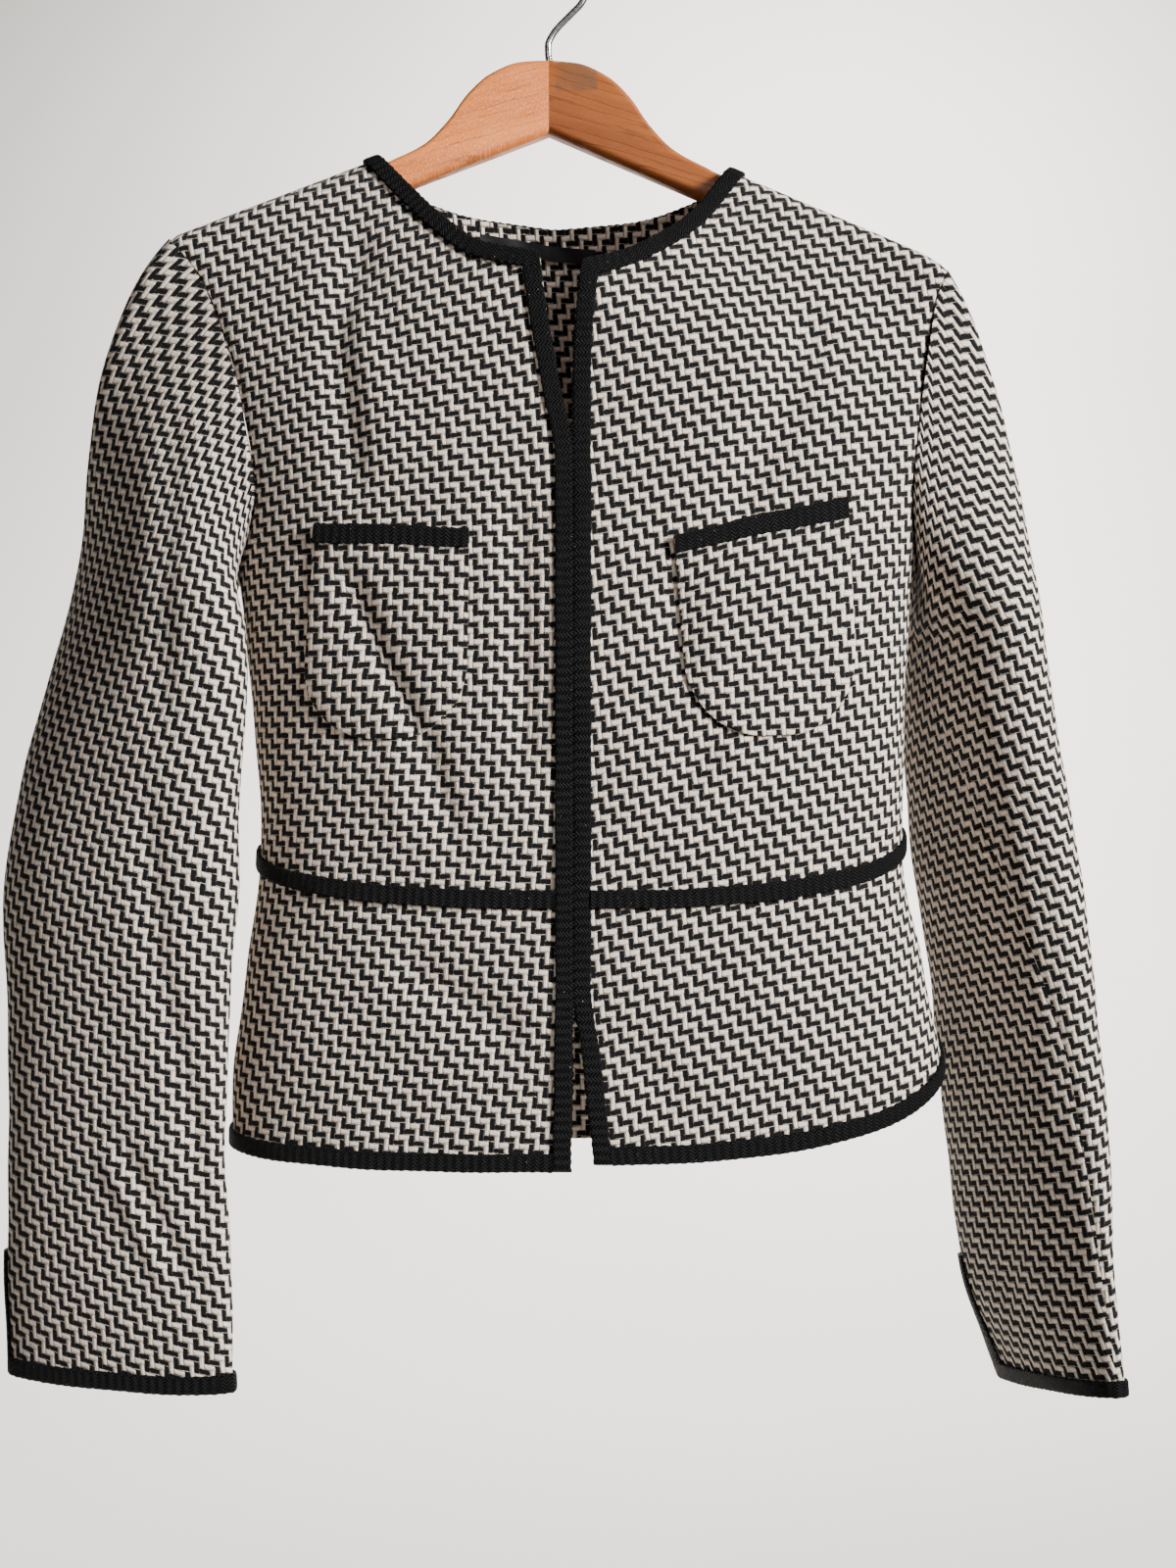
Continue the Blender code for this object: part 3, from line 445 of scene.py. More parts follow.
def read_rows(rows, places, column):
    """One column of a table, read smoothly along the table's first column."""
    rows = sorted(rows, key=lambda row: row[0])
    marks = np.array([row[0] for row in rows])
    values = np.array([getattr(row, column) for row in rows])
    steps = np.diff(values) / np.diff(marks)
    before = np.concatenate([steps[:1], steps])
    after = np.concatenate([steps, steps[-1:]])
    total = np.where(before + after == 0, 1.0, before + after)
    slopes = np.where(before * after > 0, 2 * before * after / total, 0.0)
    places = np.clip(places, marks[0], marks[-1])
    index = np.clip(np.searchsorted(marks, places, side="right") - 1, 0, len(marks) - 2)
    span = marks[index + 1] - marks[index]
    t = (places - marks[index]) / span
    start = (1 + 2 * t) * (1 - t) ** 2 * values[index] + t * (1 - t) ** 2 * span * slopes[index]
    end = t * t * (3 - 2 * t) * values[index + 1] + t * t * (t - 1) * span * slopes[index + 1]
    return start + end


def seam_height(x):
    """Height of the shoulder seam's line; past the arm's end the cloth droops."""
    past = np.maximum(np.abs(x) - ARM_END_X, 0.0)
    return SEAM_AT_NECK - SHOULDER_SLOPE * (np.abs(x) - NECK_HALF) - TILT * x - SHOULDER_DROOP * past ** 2


def cloth_line_y(x):
    """The line the cloth hangs on: along the arms, and rounded off inside the neck."""
    inside = NECK_HALF * 0.8
    rounded = x * x / (2 * inside) + inside / 2
    return -ARM_SWEEP * np.where(np.abs(x) >= inside, np.abs(x), rounded)


def body_half(side, height):
    """Half width of the body on each place's side."""
    return np.where(side > 0, read_rows(BODY, height, "left"), read_rows(BODY, height, "right"))


def body_point(face, across, height):
    """Places on the body's outer surface; across runs from -1 to 1 between the side seams."""
    side = np.where(across >= 0, LEFT, RIGHT)
    angle = np.minimum(np.abs(across), 1.0) * math.pi / 2
    reach = read_rows(BODY, height, "front" if face == FRONT else "back")
    x = read_rows(BODY, height, "middle")
    x = x + side * body_half(side, height) * np.sin(angle) ** (2 / BODY_OVAL)
    hang_y = BODY_Y + face * reach * np.maximum(np.cos(angle), 0.0) ** (2 / BODY_OVAL)
    drop = np.maximum(seam_height(x) - height, 0.0)
    fall = np.sin(math.pi / 2 * np.minimum(drop / CHEST_DROP, 1.0))
    turn = np.sqrt(np.maximum(1 - (1 - np.minimum(drop / ROLL, 1.0)) ** 2, 0.0))
    seam_y = cloth_line_y(x) + face * (SEAM_GAP / 2 + ROLL * turn)
    y = seam_y + (hang_y + face * SEAM_GAP / 2 - seam_y) * fall
    return np.stack([x, y, height + 0 * x], axis=-1)


def across_at(side, x, height):
    """The across value of a place on the body, from its x."""
    share = (x - read_rows(BODY, height, "middle")) * side / body_half(side, height)
    return side * np.arcsin(np.clip(share, 0.0, 1.0) ** (BODY_OVAL / 2)) * 2 / math.pi


def level_height(levels, face, side, across):
    """Height of the waist seam or the hem round the body."""
    level = levels[face, side]
    return level.middle + (level.side - level.middle) * np.abs(across) ** LEVEL_RISE


def armhole_place(face, side, part):
    """Places on the armhole, as across and height."""
    tip = seam_height(TIP_X[side])
    top = ArmholeRow(0.0, abs(float(across_at(side, TIP_X[side], tip))), float(tip))
    rows = [top] + ARMHOLES[face, side]
    return side * read_rows(rows, part, "across"), read_rows(rows, part, "height")


def neck_place(face, side, part):
    """Places on the neckline, as across and height."""
    rows = NECK[face, side]
    x = read_rows(rows, part, "x")
    height = np.where(part >= 1.0, seam_height(x), read_rows(rows, part, "height"))
    return across_at(side, x, height), height


def front_edge(side, height):
    """The x of a front's edge down the centre."""
    return read_rows(FRONT_EDGES, height, "left" if side == LEFT else "right")


def bodice_place(face, side, column, row):
    """Places on a bodice panel, blended from its four edges."""
    neck_low = neck_place(face, side, np.array(0.0))
    waist_low = level_height(WAIST, face, side, 0.0) + SEAM_GAP / 2

    def inner(share):
        height = waist_low + (neck_low[1] - waist_low) * share
        if face == BACK:
            return 0.0 * height, height
        return across_at(side, front_edge(side, height), height), height

    def outer(share):
        low = level_height(WAIST, face, side, 1.0) + SEAM_GAP / 2
        part = 1 - (share - SIDE_SHARE) / (1 - SIDE_SHARE)
        across, height = armhole_place(face, side, np.clip(part, 0.0, 1.0))
        under = ARMHOLES[face, side][-1].height
        on_side = share < SIDE_SHARE
        across = np.where(on_side, side * SIDE_EDGE, side * np.minimum(np.abs(across), SIDE_EDGE))
        return across, np.where(on_side, low + (under - low) * share / SIDE_SHARE, height)

    def lower(share):
        start = inner(np.array(0.0))[0]
        across = start + (side * SIDE_EDGE - start) * share ** EVEN
        return across, level_height(WAIST, face, side, across) + SEAM_GAP / 2

    def upper(share):
        neck = neck_place(face, side, np.minimum(share / NECK_SHARE, 1.0))
        start = NECK[face, side][-1].x
        x = start + (TIP_X[side] - start) * np.maximum(share - NECK_SHARE, 0.0) / (1 - NECK_SHARE)
        height = seam_height(x)
        at_neck = share <= NECK_SHARE
        return np.where(at_neck, neck[0], across_at(side, x, height)), np.where(at_neck, neck[1], height)

    share = column ** EVEN
    spots = []
    for part in (0, 1):
        value = (1 - share) * inner(row)[part] + share * outer(row)[part]
        value = value + (1 - row) * lower(column)[part] + row * upper(column)[part]
        value = value - (1 - row) * ((1 - share) * inner(row * 0)[part] + share * outer(row * 0)[part])
        value = value - row * ((1 - share) * inner(row * 0 + 1)[part] + share * outer(row * 0 + 1)[part])
        spots.append(value)
    return spots


Fold = namedtuple("Fold", "face width depth points")
FOLDS = [
    # from the right shoulder down to the pocket, and on below it to the waist dart
    Fold(FRONT, 0.0090, -0.0046, [(-0.101, -0.172), (-0.109, -0.236), (-0.098, -0.320)]),
    Fold(FRONT, 0.0080, -0.0016, [(-0.104, -0.162), (-0.083, -0.228), (-0.059, -0.298)]),
    Fold(FRONT, 0.0080, -0.0044, [(-0.105, -0.350), (-0.086, -0.397), (-0.0625, -0.444), (-0.047, -0.498)]),
    Fold(FRONT, 0.0060, 0.0018, [(-0.0785, -0.455), (-0.072, -0.495)]),
    Fold(FRONT, 0.0080, -0.0032, [(-0.015, -0.313), (-0.013, -0.390), (-0.011, -0.464)]),
    Fold(FRONT, 0.0080, -0.0012, [(-0.129, -0.429), (-0.079, -0.449)]),
    # the left front: wide soft troughs from the shoulder, and drags towards the waist
    Fold(FRONT, 0.0125, -0.0044, [(0.141, -0.2125), (0.122, -0.276), (0.095, -0.330)]),
    Fold(FRONT, 0.0120, -0.0034, [(0.068, -0.357), (0.072, -0.417)]),
    Fold(FRONT, 0.0080, -0.0028, [(0.058, -0.478), (0.088, -0.444)]),
    Fold(FRONT, 0.0100, -0.0016, [(0.132, -0.397), (0.149, -0.437)]),
    Fold(FRONT, 0.0080, 0.0010, [(0.157, -0.240), (0.157, -0.350)]),
    # waist darts and bust darts, pinched along their seams
    Fold(FRONT, 0.0024, -0.0013, [(-0.0705, -0.439), (-0.0705, -0.507)]),
    Fold(FRONT, 0.0024, -0.0013, [(0.1105, -0.440), (0.1105, -0.495)]),
    Fold(FRONT, 0.0022, -0.0011, [(-0.152, -0.363), (-0.124, -0.378)]),
    Fold(FRONT, 0.0022, -0.0011, [(0.157, -0.358), (0.188, -0.358)]),
    # the peplum
    Fold(FRONT, 0.0110, -0.0038, [(-0.079, -0.5545), (-0.012, -0.598)]),
    Fold(FRONT, 0.0115, -0.0017, [(0.042, -0.598), (0.068, -0.6315)]),
    # the back, guessed: it hangs from the same arms and is pulled in the same way
    Fold(BACK, 0.0110, -0.0030, [(-0.150, -0.230), (-0.118, -0.310), (-0.079, -0.405)]),
    Fold(BACK, 0.0100, -0.0026, [(0.151, -0.245), (0.112, -0.330), (0.083, -0.437)]),
    Fold(BACK, 0.0080, -0.0020, [(-0.068, -0.425), (-0.061, -0.497)]),
    Fold(BACK, 0.0090, -0.0018, [(0.072, -0.452), (0.048, -0.500)]),
    Fold(BACK, 0.0150, 0.0018, [(-0.041, -0.215), (-0.030, -0.350)]),
    Fold(BACK, 0.0130, 0.0016, [(0.055, -0.250), (0.039, -0.400)]),
    Fold(BACK, 0.0120, -0.0024, [(-0.071, -0.540), (-0.083, -0.655)]),
    Fold(BACK, 0.0130, -0.0022, [(0.045, -0.550), (0.055, -0.660)]),
    Fold(BACK, 0.0120, 0.0018, [(-0.014, -0.560), (-0.019, -0.660)]),
]


def fold_lift(a, b, points, width, depth):
    """How far one fold lifts each place: deepest along a line of points, and fading at both ends."""
    points = np.array(points)
    lengths = np.linalg.norm(np.diff(points, axis=0), axis=1)
    starts = np.concatenate([[0.0], np.cumsum(lengths)])
    best = np.full(np.shape(a), 1e9)
    place = np.zeros(np.shape(a))
    for first, second, start, length in zip(points, points[1:], starts, lengths):
        line = (second - first) / length
        t = np.clip((a - first[0]) * line[0] + (b - first[1]) * line[1], 0.0, length)
        away = np.hypot(a - first[0] - line[0] * t, b - first[1] - line[1] * t)
        nearer = away < best
        best = np.where(nearer, away, best)
        place = np.where(nearer, (start + t) / starts[-1], place)
    fade = np.clip(np.minimum(place, 1 - place) * 5.0 + 0.25, 0.0, 1.0)
    return depth * np.exp(-(best / width) ** 2) * fade * fade * (3 - 2 * fade)


def ripple(a, b):
    """The faint unevenness of cloth that hangs free."""
    wave = np.sin(a * 41 + 1.3 * np.sin(b * 29)) + np.sin(b * 37 + 1.7 * np.sin(a * 23) + 2.0)
    return 0.00045 * wave + 0.00025 * np.sin(a * 97 + b * 61) + 0.0002 * np.sin(a * 71 - b * 113)


def unit(vectors):
    """The vectors at length one."""
    return vectors / np.maximum(np.linalg.norm(vectors, axis=-1, keepdims=True), 1e-12)


def raised(surface, lift, sign, step_a, step_b, inside=lambda a: a):
    """A function giving the folded surface over places, and its outward normals."""
    def normal(shape, a, b):
        sideways = shape(a + step_a, b) - shape(a - step_a, b)
        lengthways = shape(a, b + step_b) - shape(a, b - step_b)
        return unit(np.cross(sideways, lengthways)) * sign

    def folded(a, b):
        point = surface(a, b)
        outward = normal(surface, inside(a), b)
        return point + outward * lift(point, outward)[..., None]

    def skin(a, b):
        return folded(a, b), normal(folded, inside(a), b)
    return skin


def body_skin(face):
    """The body's front or back, as a folded surface."""
    def lift(point, outward):
        x, height = point[..., 0], point[..., 2]
        amount = ripple(x, height)
        for fold in FOLDS:
            if fold.face == face:
                amount = amount + fold_lift(x, height, fold.points, fold.width, fold.depth)
        return amount * np.clip((seam_height(x) - height) / 0.03, 0.0, 1.0)

    found = raised(lambda a, h: body_point(face, a, h), lift, -face, 0.003, 0.0006,
                   lambda a: np.clip(a, -0.996, 0.996))

    def skin(a, h):
        points, normals = found(a, h)
        top = seam_height(points[..., 0]) - h < 0.0008
        side = np.where(a >= 0, LEFT, RIGHT)
        up = unit(np.stack([0.3 * side, 0.0 * a, 1.0 + 0.0 * a], axis=-1))
        return points, np.where(top[..., None], up, normals)
    return skin


SKIN = {FRONT: body_skin(FRONT), BACK: body_skin(BACK)}


Grain = namedtuple("Grain", "height slope lean")
GRAIN = {
    (FRONT, RIGHT): [
        Grain(-0.12, 0.160, 0.0000),
        Grain(-0.20, 0.149, 0.0083),
        Grain(-0.37, 0.000, 0.0171),
        Grain(-0.60, -0.063, 0.0079),
        Grain(-0.67, -0.065, 0.0023),
    ],
    (FRONT, LEFT): [
        Grain(-0.12, 0.140, 0.000),
        Grain(-0.37, 0.140, 0.025),
        Grain(-0.67, 0.140, 0.055),
    ],
    (BACK, RIGHT): [Grain(-0.12, 0.0, 0.0), Grain(-0.67, 0.0, 0.0)],
}


def body_grain(face, side, across, height):
    """Where each place lies on the cloth: along the picks and up the ends, in metres."""
    steps = np.linspace(0.0, 1.0, 22)
    walk = body_point(face, across[..., None] * steps, height[..., None] + 0 * steps)
    reach = np.linalg.norm(np.diff(walk, axis=-2), axis=-1).sum(axis=-1) * np.sign(across)
    drop = np.maximum(seam_height(body_point(face, across, height)[..., 0]) - height, 0.0)
    rolled = ROLL * np.arccos(1 - np.minimum(drop / ROLL, 1.0)) + np.maximum(drop - ROLL, 0.0)
    table = GRAIN[(face, side) if face == FRONT else (BACK, RIGHT)]
    u = (reach - read_rows(table, height, "lean")) * (1 if face == FRONT else -1)
    v = height - (rolled - drop) - reach * read_rows(table, height, "slope")
    return np.stack([u, v], axis=-1)


def raise_mesh(name, points, faces, grain, material, sharp=50):
    """A mesh object from points, faces and a grain place for each point."""
    mesh = bpy.data.meshes.new(name)
    mesh.from_pydata(points.tolist(), [], [tuple(face) for face in faces])
    layer = mesh.uv_layers.new(name="grain")
    corners = np.empty(len(mesh.loops), dtype=np.int32)
    mesh.loops.foreach_get("vertex_index", corners)
    layer.data.foreach_set("uv", grain[corners].astype(np.float32).ravel())
    builder = bmesh.new()
    builder.from_mesh(mesh)
    bmesh.ops.recalc_face_normals(builder, faces=builder.faces)
    builder.to_mesh(mesh)
    builder.free()
    mesh.shade_smooth()
    mesh.set_sharp_from_angle(angle=math.radians(sharp))
    mesh.materials.append(material)
    piece = bpy.data.objects.new(name, mesh)
    bpy.context.scene.collection.objects.link(piece)
    return piece


def sew_shell(name, points, normals, grain, low, high, material):
    """A closed thickness of cloth over a lattice, between two heights off its surface."""
    rows, columns = points.shape[:2]
    over = (points + normals * high).reshape(-1, 3)
    under = (points + normals * low).reshape(-1, 3)
    index = np.arange(rows * columns).reshape(rows, columns)
    quads = np.stack([index[:-1, :-1], index[:-1, 1:], index[1:, 1:], index[1:, :-1]], axis=-1)
    quads = quads.reshape(-1, 4)
    rim = np.concatenate([index[0], index[1:, -1], index[-1, -2::-1], index[-2:0:-1, 0]])
    ahead = np.roll(rim, -1)
    shift = rows * columns
    walls = np.stack([rim, rim + shift, ahead + shift, ahead], axis=-1)
    faces = np.concatenate([quads, quads[:, ::-1] + shift, walls])
    flat = grain.reshape(-1, 2)
    return raise_mesh(name, np.concatenate([over, under]), faces, np.concatenate([flat, flat]), material)


def roll_seams(points, normals, first, last, depth=0.0010):
    """Rolls the cloth in a little where its first and last columns are sewn into seams."""
    steps = np.linalg.norm(np.diff(points, axis=1), axis=-1)
    walk = np.concatenate([np.zeros((len(points), 1)), np.cumsum(steps, axis=1)], axis=1)
    dip = 0.0
    if first:
        dip = dip + np.exp(-(walk / 0.0024) ** 2)
    if last:
        dip = dip + np.exp(-((walk[:, -1:] - walk) / 0.0024) ** 2)
    return points - normals * (depth * dip)[..., None]


def cut_size(points):
    """The flat width, length and area of a lattice of cloth."""
    width = np.linalg.norm(np.diff(points, axis=1), axis=-1).sum(axis=1).max()
    length = np.linalg.norm(np.diff(points, axis=0), axis=-1).sum(axis=0).max()
    along, down = np.gradient(points, axis=1), np.gradient(points, axis=0)
    area = np.linalg.norm(np.cross(along, down), axis=-1)[:-1, :-1].sum()
    return (round(float(width), 3), round(float(length), 3)), round(float(area), 4)


CUTS = {}


def place_piece(piece, nodes, finish):
    """Stands a piece in for its CAD nodes, on the one body."""
    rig.replaces(piece, *nodes)
    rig.ride(piece, "root")
    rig.slot(piece, finish)
    return piece


def bunched(count):
    """Places from 0 to 1, closer together towards both ends."""
    steps = np.linspace(0.0, 1.0, count)
    return 0.6 * steps + 0.4 * (0.5 - 0.5 * np.cos(math.pi * steps))


def body_panel(name, face, place_at, columns, rows, shift=(0.0, 0.0)):
    """One panel of the body, folds and all; the back runs across both sides."""
    parts = [LEFT if name.endswith("left") else RIGHT] if face == FRONT else [RIGHT, LEFT]
    across, height, grain = [], [], []
    for side in parts:
        column, row = np.meshgrid(columns, rows)
        a, h = place_at(face, side, column, row)
        if face == BACK and side == RIGHT:
            a, h = a[:, :0:-1], h[:, :0:-1]
        across.append(a)
        height.append(h)
        grain.append(body_grain(face, side, a, h))
    across, height = np.concatenate(across, axis=1), np.concatenate(height, axis=1)
    grain = np.concatenate(grain, axis=1) + np.array(shift)
    points, normals = SKIN[face](across, height)
    points = roll_seams(points, normals, face == BACK, True)
    piece = sew_shell(name + "_cloth", points, normals, grain, -CLOTH, 0.0, TWEED)
    CUTS[name] = (place_piece(piece, [name], "tweed"), cut_size(points))


top_rows = 1 - 0.08 * np.linspace(1.0, 0.0, 22)[1:] ** 2
panel_rows = np.concatenate([np.linspace(0.0, 0.92, 100), top_rows])
panel_columns = bunched(66)
for word, shift in (("right", (0.0, 0.0)), ("left", (0.0007, 0.0016))):
    body_panel("bodice_front_" + word, FRONT, bodice_place, panel_columns, panel_rows, shift)
body_panel("bodice_back", BACK, bodice_place, panel_columns, panel_rows)


# ---------------------------------------------------------------- peplum
# A short skirt below the waist seam: two fronts that part over the opening,
# and a back.  It flares a little at the sides and waves at the hem.

HEM = {
    (FRONT, RIGHT): Level(-0.6630, -0.6575),
    (FRONT, LEFT): Level(-0.6592, -0.6105),
    (BACK, RIGHT): Level(-0.6690, -0.6575),
    (BACK, LEFT): Level(-0.6690, -0.6105),
}


def peplum_place(face, side, column, row):
    """Places on a peplum panel, from its hem (row 0) up to the waist seam (row 1)."""
    column = column ** EVEN
    across = side * column * SIDE_EDGE
    low = level_height(HEM, face, side, across)
    high = level_height(WAIST, face, side, across) - SEAM_GAP / 2
    height = low + (high - low) * row
    if face == FRONT:
        start = across_at(side, front_edge(side, height), height)
        across = start + (side * SIDE_EDGE - start) * column
    return across, height


peplum_rows = np.linspace(0.0, 1.0, 44)
for word, shift in (("right", (0.0011, 0.0020)), ("left", (0.0031, 0.0008))):
    body_panel("peplum_front_" + word, FRONT, peplum_place, panel_columns, peplum_rows, shift)
body_panel("peplum_back", BACK, peplum_place, panel_columns, peplum_rows, (0.0013, 0.0013))


# ---------------------------------------------------------------- sleeves
# Two-piece sleeves, a wide upper and a narrow under piece, open in a short
# vent at the cuff.  They hang empty: the right one flat to the front, the left
# one turned half away, and both creased where the arm would bend.

SLEEVE_OVAL = 2.2
Ring = namedtuple("Ring", "height x y half_width half_depth turn twist")
SLEEVES = {
    RIGHT: [
        Ring(-0.385, -0.2140, -0.018, 0.0700, 0.029, 41, 0),
        Ring(-0.425, -0.2175, -0.025, 0.0700, 0.030, 33, 0),
        Ring(-0.464, -0.2222, -0.030, 0.0699, 0.030, 27, 0),
        Ring(-0.516, -0.2255, -0.035, 0.0698, 0.028, 21, 0),
        Ring(-0.567, -0.2266, -0.038, 0.0653, 0.025, 18, 0),
        Ring(-0.644, -0.2262, -0.041, 0.0625, 0.021, 15, 0),
        Ring(-0.710, -0.2240, -0.044, 0.0628, 0.017, 14, 0),
        Ring(-0.7755, -0.2220, -0.047, 0.0632, 0.013, 13, 0),
    ],
    LEFT: [
        Ring(-0.385, 0.2335, 0.018, 0.0600, 0.029, -72, -10),
        Ring(-0.425, 0.2375, 0.019, 0.0610, 0.029, -70, -24),
        Ring(-0.464, 0.2425, 0.020, 0.0620, 0.028, -67, -40),
        Ring(-0.519, 0.2495, 0.021, 0.0610, 0.027, -62, -62),
        Ring(-0.574, 0.2570, 0.023, 0.0600, 0.025, -61, -80),
        Ring(-0.629, 0.2630, 0.024, 0.0590, 0.022, -59, -92),
        Ring(-0.701, 0.2695, 0.026, 0.0585, 0.018, -59, -100),
        Ring(-0.740, 0.2735, 0.027, 0.0585, 0.015, -61, -102),
        Ring(-0.8020, 0.2865, 0.027, 0.0585, 0.012, -72, -104),
    ],
}
# The cuff edge falls this much from the outer to the inner end of its ring
CUFF_FALL = {RIGHT: 0.001, LEFT: 0.024}
# How far the sleeve head stands out as it leaves the shoulder, and how soon it hangs
CAP_REACH = {RIGHT: 0.66, LEFT: 0.42}
CAP_SETTLE = {RIGHT: 0.34, LEFT: 0.22}
VENT_RINGS = 0.835
VENT_SPREAD = {RIGHT: 2.0, LEFT: 6.0}
VENT_BRAID_END = 2.0
SLEEVE_FOLDS = {
    (RIGHT, FRONT): [
        (0.0090, -0.0020, [(-0.197, -0.263), (-0.197, -0.439)]),
        (0.0080, -0.0030, [(-0.205, -0.464), (-0.198, -0.558), (-0.180, -0.638), (-0.170, -0.705)]),
        (0.0045, 0.0022, [(-0.228, -0.652), (-0.193, -0.722)]),
        (0.0050, -0.0024, [(-0.218, -0.646), (-0.183, -0.717)]),
        (0.0060, 0.0018, [(-0.172, -0.615), (-0.166, -0.756)]),
    ],
    (LEFT, FRONT): [
        (0.0070, 0.0020, [(0.213, -0.343), (0.229, -0.410), (0.256, -0.531), (0.2665, -0.6315), (0.2665, -0.759)]),
        (0.0032, -0.0016, [(0.248, -0.634), (0.250, -0.760)]),
        (0.0030, -0.0014, [(0.2555, -0.650), (0.258, -0.770)]),
    ],
    (RIGHT, BACK): [
        (0.0110, -0.0026, [(-0.215, -0.300), (-0.232, -0.430)]),
        (0.0080, -0.0024, [(-0.200, -0.490), (-0.232, -0.580)]),
        (0.0070, 0.0018, [(-0.236, -0.610), (-0.214, -0.730)]),
    ],
    (LEFT, BACK): [
        (0.0100, -0.0024, [(0.232, -0.310), (0.262, -0.430)]),
        (0.0080, -0.0020, [(0.283, -0.500), (0.262, -0.590)]),
        (0.0070, 0.0016, [(0.272, -0.620), (0.283, -0.740)]),
    ],
}
SLEEVE_GRAIN = {RIGHT: -0.235, LEFT: 0.20}
FORE_SEAM = 180.0
HIND_SEAM = 360 - 180 * (1 - (0.953 - SIDE_SHARE) / (1 - SIDE_SHARE))


def power(base, exponent):
    """A signed power, for the four quarters of an oval."""
    return np.sign(base) * np.abs(base) ** exponent


def sleeve_ring_point(side, angle, row):
    """Places on a sleeve's rings, by the angle round the cloth from its outer end."""
    rows = SLEEVES[side]
    height = rows[0].height + (rows[-1].height - rows[0].height) * row
    turn = np.radians(read_rows(rows, height, "turn"))
    place = np.radians(angle + read_rows(rows, height, "twist")) + turn
    width = read_rows(rows, height, "half_width")
    outward = width * power(np.cos(place), 2 / SLEEVE_OVAL)
    forward = read_rows(rows, height, "half_depth") * power(np.sin(place), 2 / SLEEVE_OVAL)
    x = read_rows(rows, height, "x") + side * (outward * np.cos(turn) + forward * np.sin(turn))
    y = BODY_Y + read_rows(rows, height, "y") + outward * np.sin(turn) - forward * np.cos(turn)
    fall = CUFF_FALL[side] * outward / width * np.maximum(row, 0.0) ** 3 / 2
    return np.stack([x, y, height + fall], axis=-1)


def sleeve_point(side, angle, down):
    """Places on a sleeve; down is 0 at the armhole, 1 at the first ring and 2 at the cuff."""
    angle, down = np.broadcast_arrays(np.asarray(angle, float), np.asarray(down, float))
    ring = sleeve_ring_point(side, angle, np.maximum(down - 1.0, 0.0))
    turned = angle % 360
    face = np.where(turned <= 180, FRONT, BACK)
    part = np.minimum(turned, 360 - turned) / 180
    on_front = body_point(FRONT, *armhole_place(FRONT, side, part))
    on_back = body_point(BACK, *armhole_place(BACK, side, part))
    start = np.where((face == FRONT)[..., None], on_front, on_back)
    low = 0.5 - 0.5 * np.cos(np.radians(turned))
    outward = unit(np.stack([side * (CAP_REACH[side] - 0.25 * low), 0 * low, -0.74 - 0.26 * low], axis=-1))
    apart = unit(np.stack([side * (1 - 0.5 * low), face * low * (1 - low) * 3, -low], axis=-1))
    start = start + apart * (SEAM_GAP * (2 + 2 * low))[..., None]
    length = np.linalg.norm(ring - start, axis=-1, keepdims=True)
    settle = unit(sleeve_ring_point(side, angle, 0.05) - sleeve_ring_point(side, angle, 0.0))
    first = start + outward * length * 0.38
    second = ring - settle * length * CAP_SETTLE[side]
    t = np.clip(down, 0.0, 1.0)[..., None]
    cap = start * (1 - t) ** 3 + first * 3 * t * (1 - t) ** 2 + second * 3 * t * t * (1 - t) + ring * t ** 3
    return np.where((down >= 1.0)[..., None], ring, cap)


def sleeve_skin(side):
    """A sleeve, as a folded surface."""
    def lift(point, outward):
        x, height = point[..., 0], point[..., 2]
        amount = ripple(x * 0.7 + point[..., 1], height)
        for face in (FRONT, BACK):
            facing = np.clip(outward[..., 1] * face * 1.6, 0.0, 1.0)
            for width, depth, points in SLEEVE_FOLDS[side, face]:
                amount = amount + facing * fold_lift(x, height, points, width, depth)
        return amount
    return raised(lambda a, d: sleeve_point(side, a, d), lift, side, 1.2, 0.012)


def sleeve_seam_angle(side, seam, row):
    """Degrees from a lengthwise seam to a piece's edge; the vent opens the hind seam at the cuff."""
    if seam == FORE_SEAM:
        return 0.0 * row
    return VENT_SPREAD[side] * np.maximum(row - VENT_RINGS - 1, 0.0) / (1 - VENT_RINGS)


SLEEVE_SKIN = {RIGHT: sleeve_skin(RIGHT), LEFT: sleeve_skin(LEFT)}
sleeve_rows = np.concatenate([np.linspace(0.0, 1.0, 52)[:-1], np.linspace(1.0, 2.0, 118)])[:, None]
for side, word in ((RIGHT, "right"), (LEFT, "left")):
    hind = sleeve_seam_angle(side, HIND_SEAM, sleeve_rows)
    fore = sleeve_seam_angle(side, FORE_SEAM, sleeve_rows)
    spans = (
        ("upper_sleeve_", HIND_SEAM - 360 + hind, FORE_SEAM - fore, 92),
        ("under_sleeve_", FORE_SEAM + fore, HIND_SEAM - hind, 76),
    )
    for kind, start, end, count in spans:
        angles = start + (end - start) * bunched(count)[None, :]
        points, normals = SLEEVE_SKIN[side](angles, sleeve_rows + 0 * angles)
        steps = np.linalg.norm(np.diff(points, axis=1), axis=-1)
        walk = np.concatenate([np.zeros((len(points), 1)), np.cumsum(steps, axis=1)], axis=1)
        walk = (walk - walk[:, count // 2, None]) * -side
        grain = np.stack([walk, points[..., 2] - SLEEVE_GRAIN[side] * walk], axis=-1)
        points = roll_seams(points, normals, True, True, 0.0004)
        name = kind + word
        piece = sew_shell(name + "_cloth", points, normals, grain, -CLOTH, 0.0, TWEED)
        CUTS[name] = (place_piece(piece, [name], "tweed"), cut_size(points))


# ---------------------------------------------------------------- pockets
# Two patch pockets of the same tweed with round bottom corners, sewn flat to
# the fronts.  The left one is set on a slant.

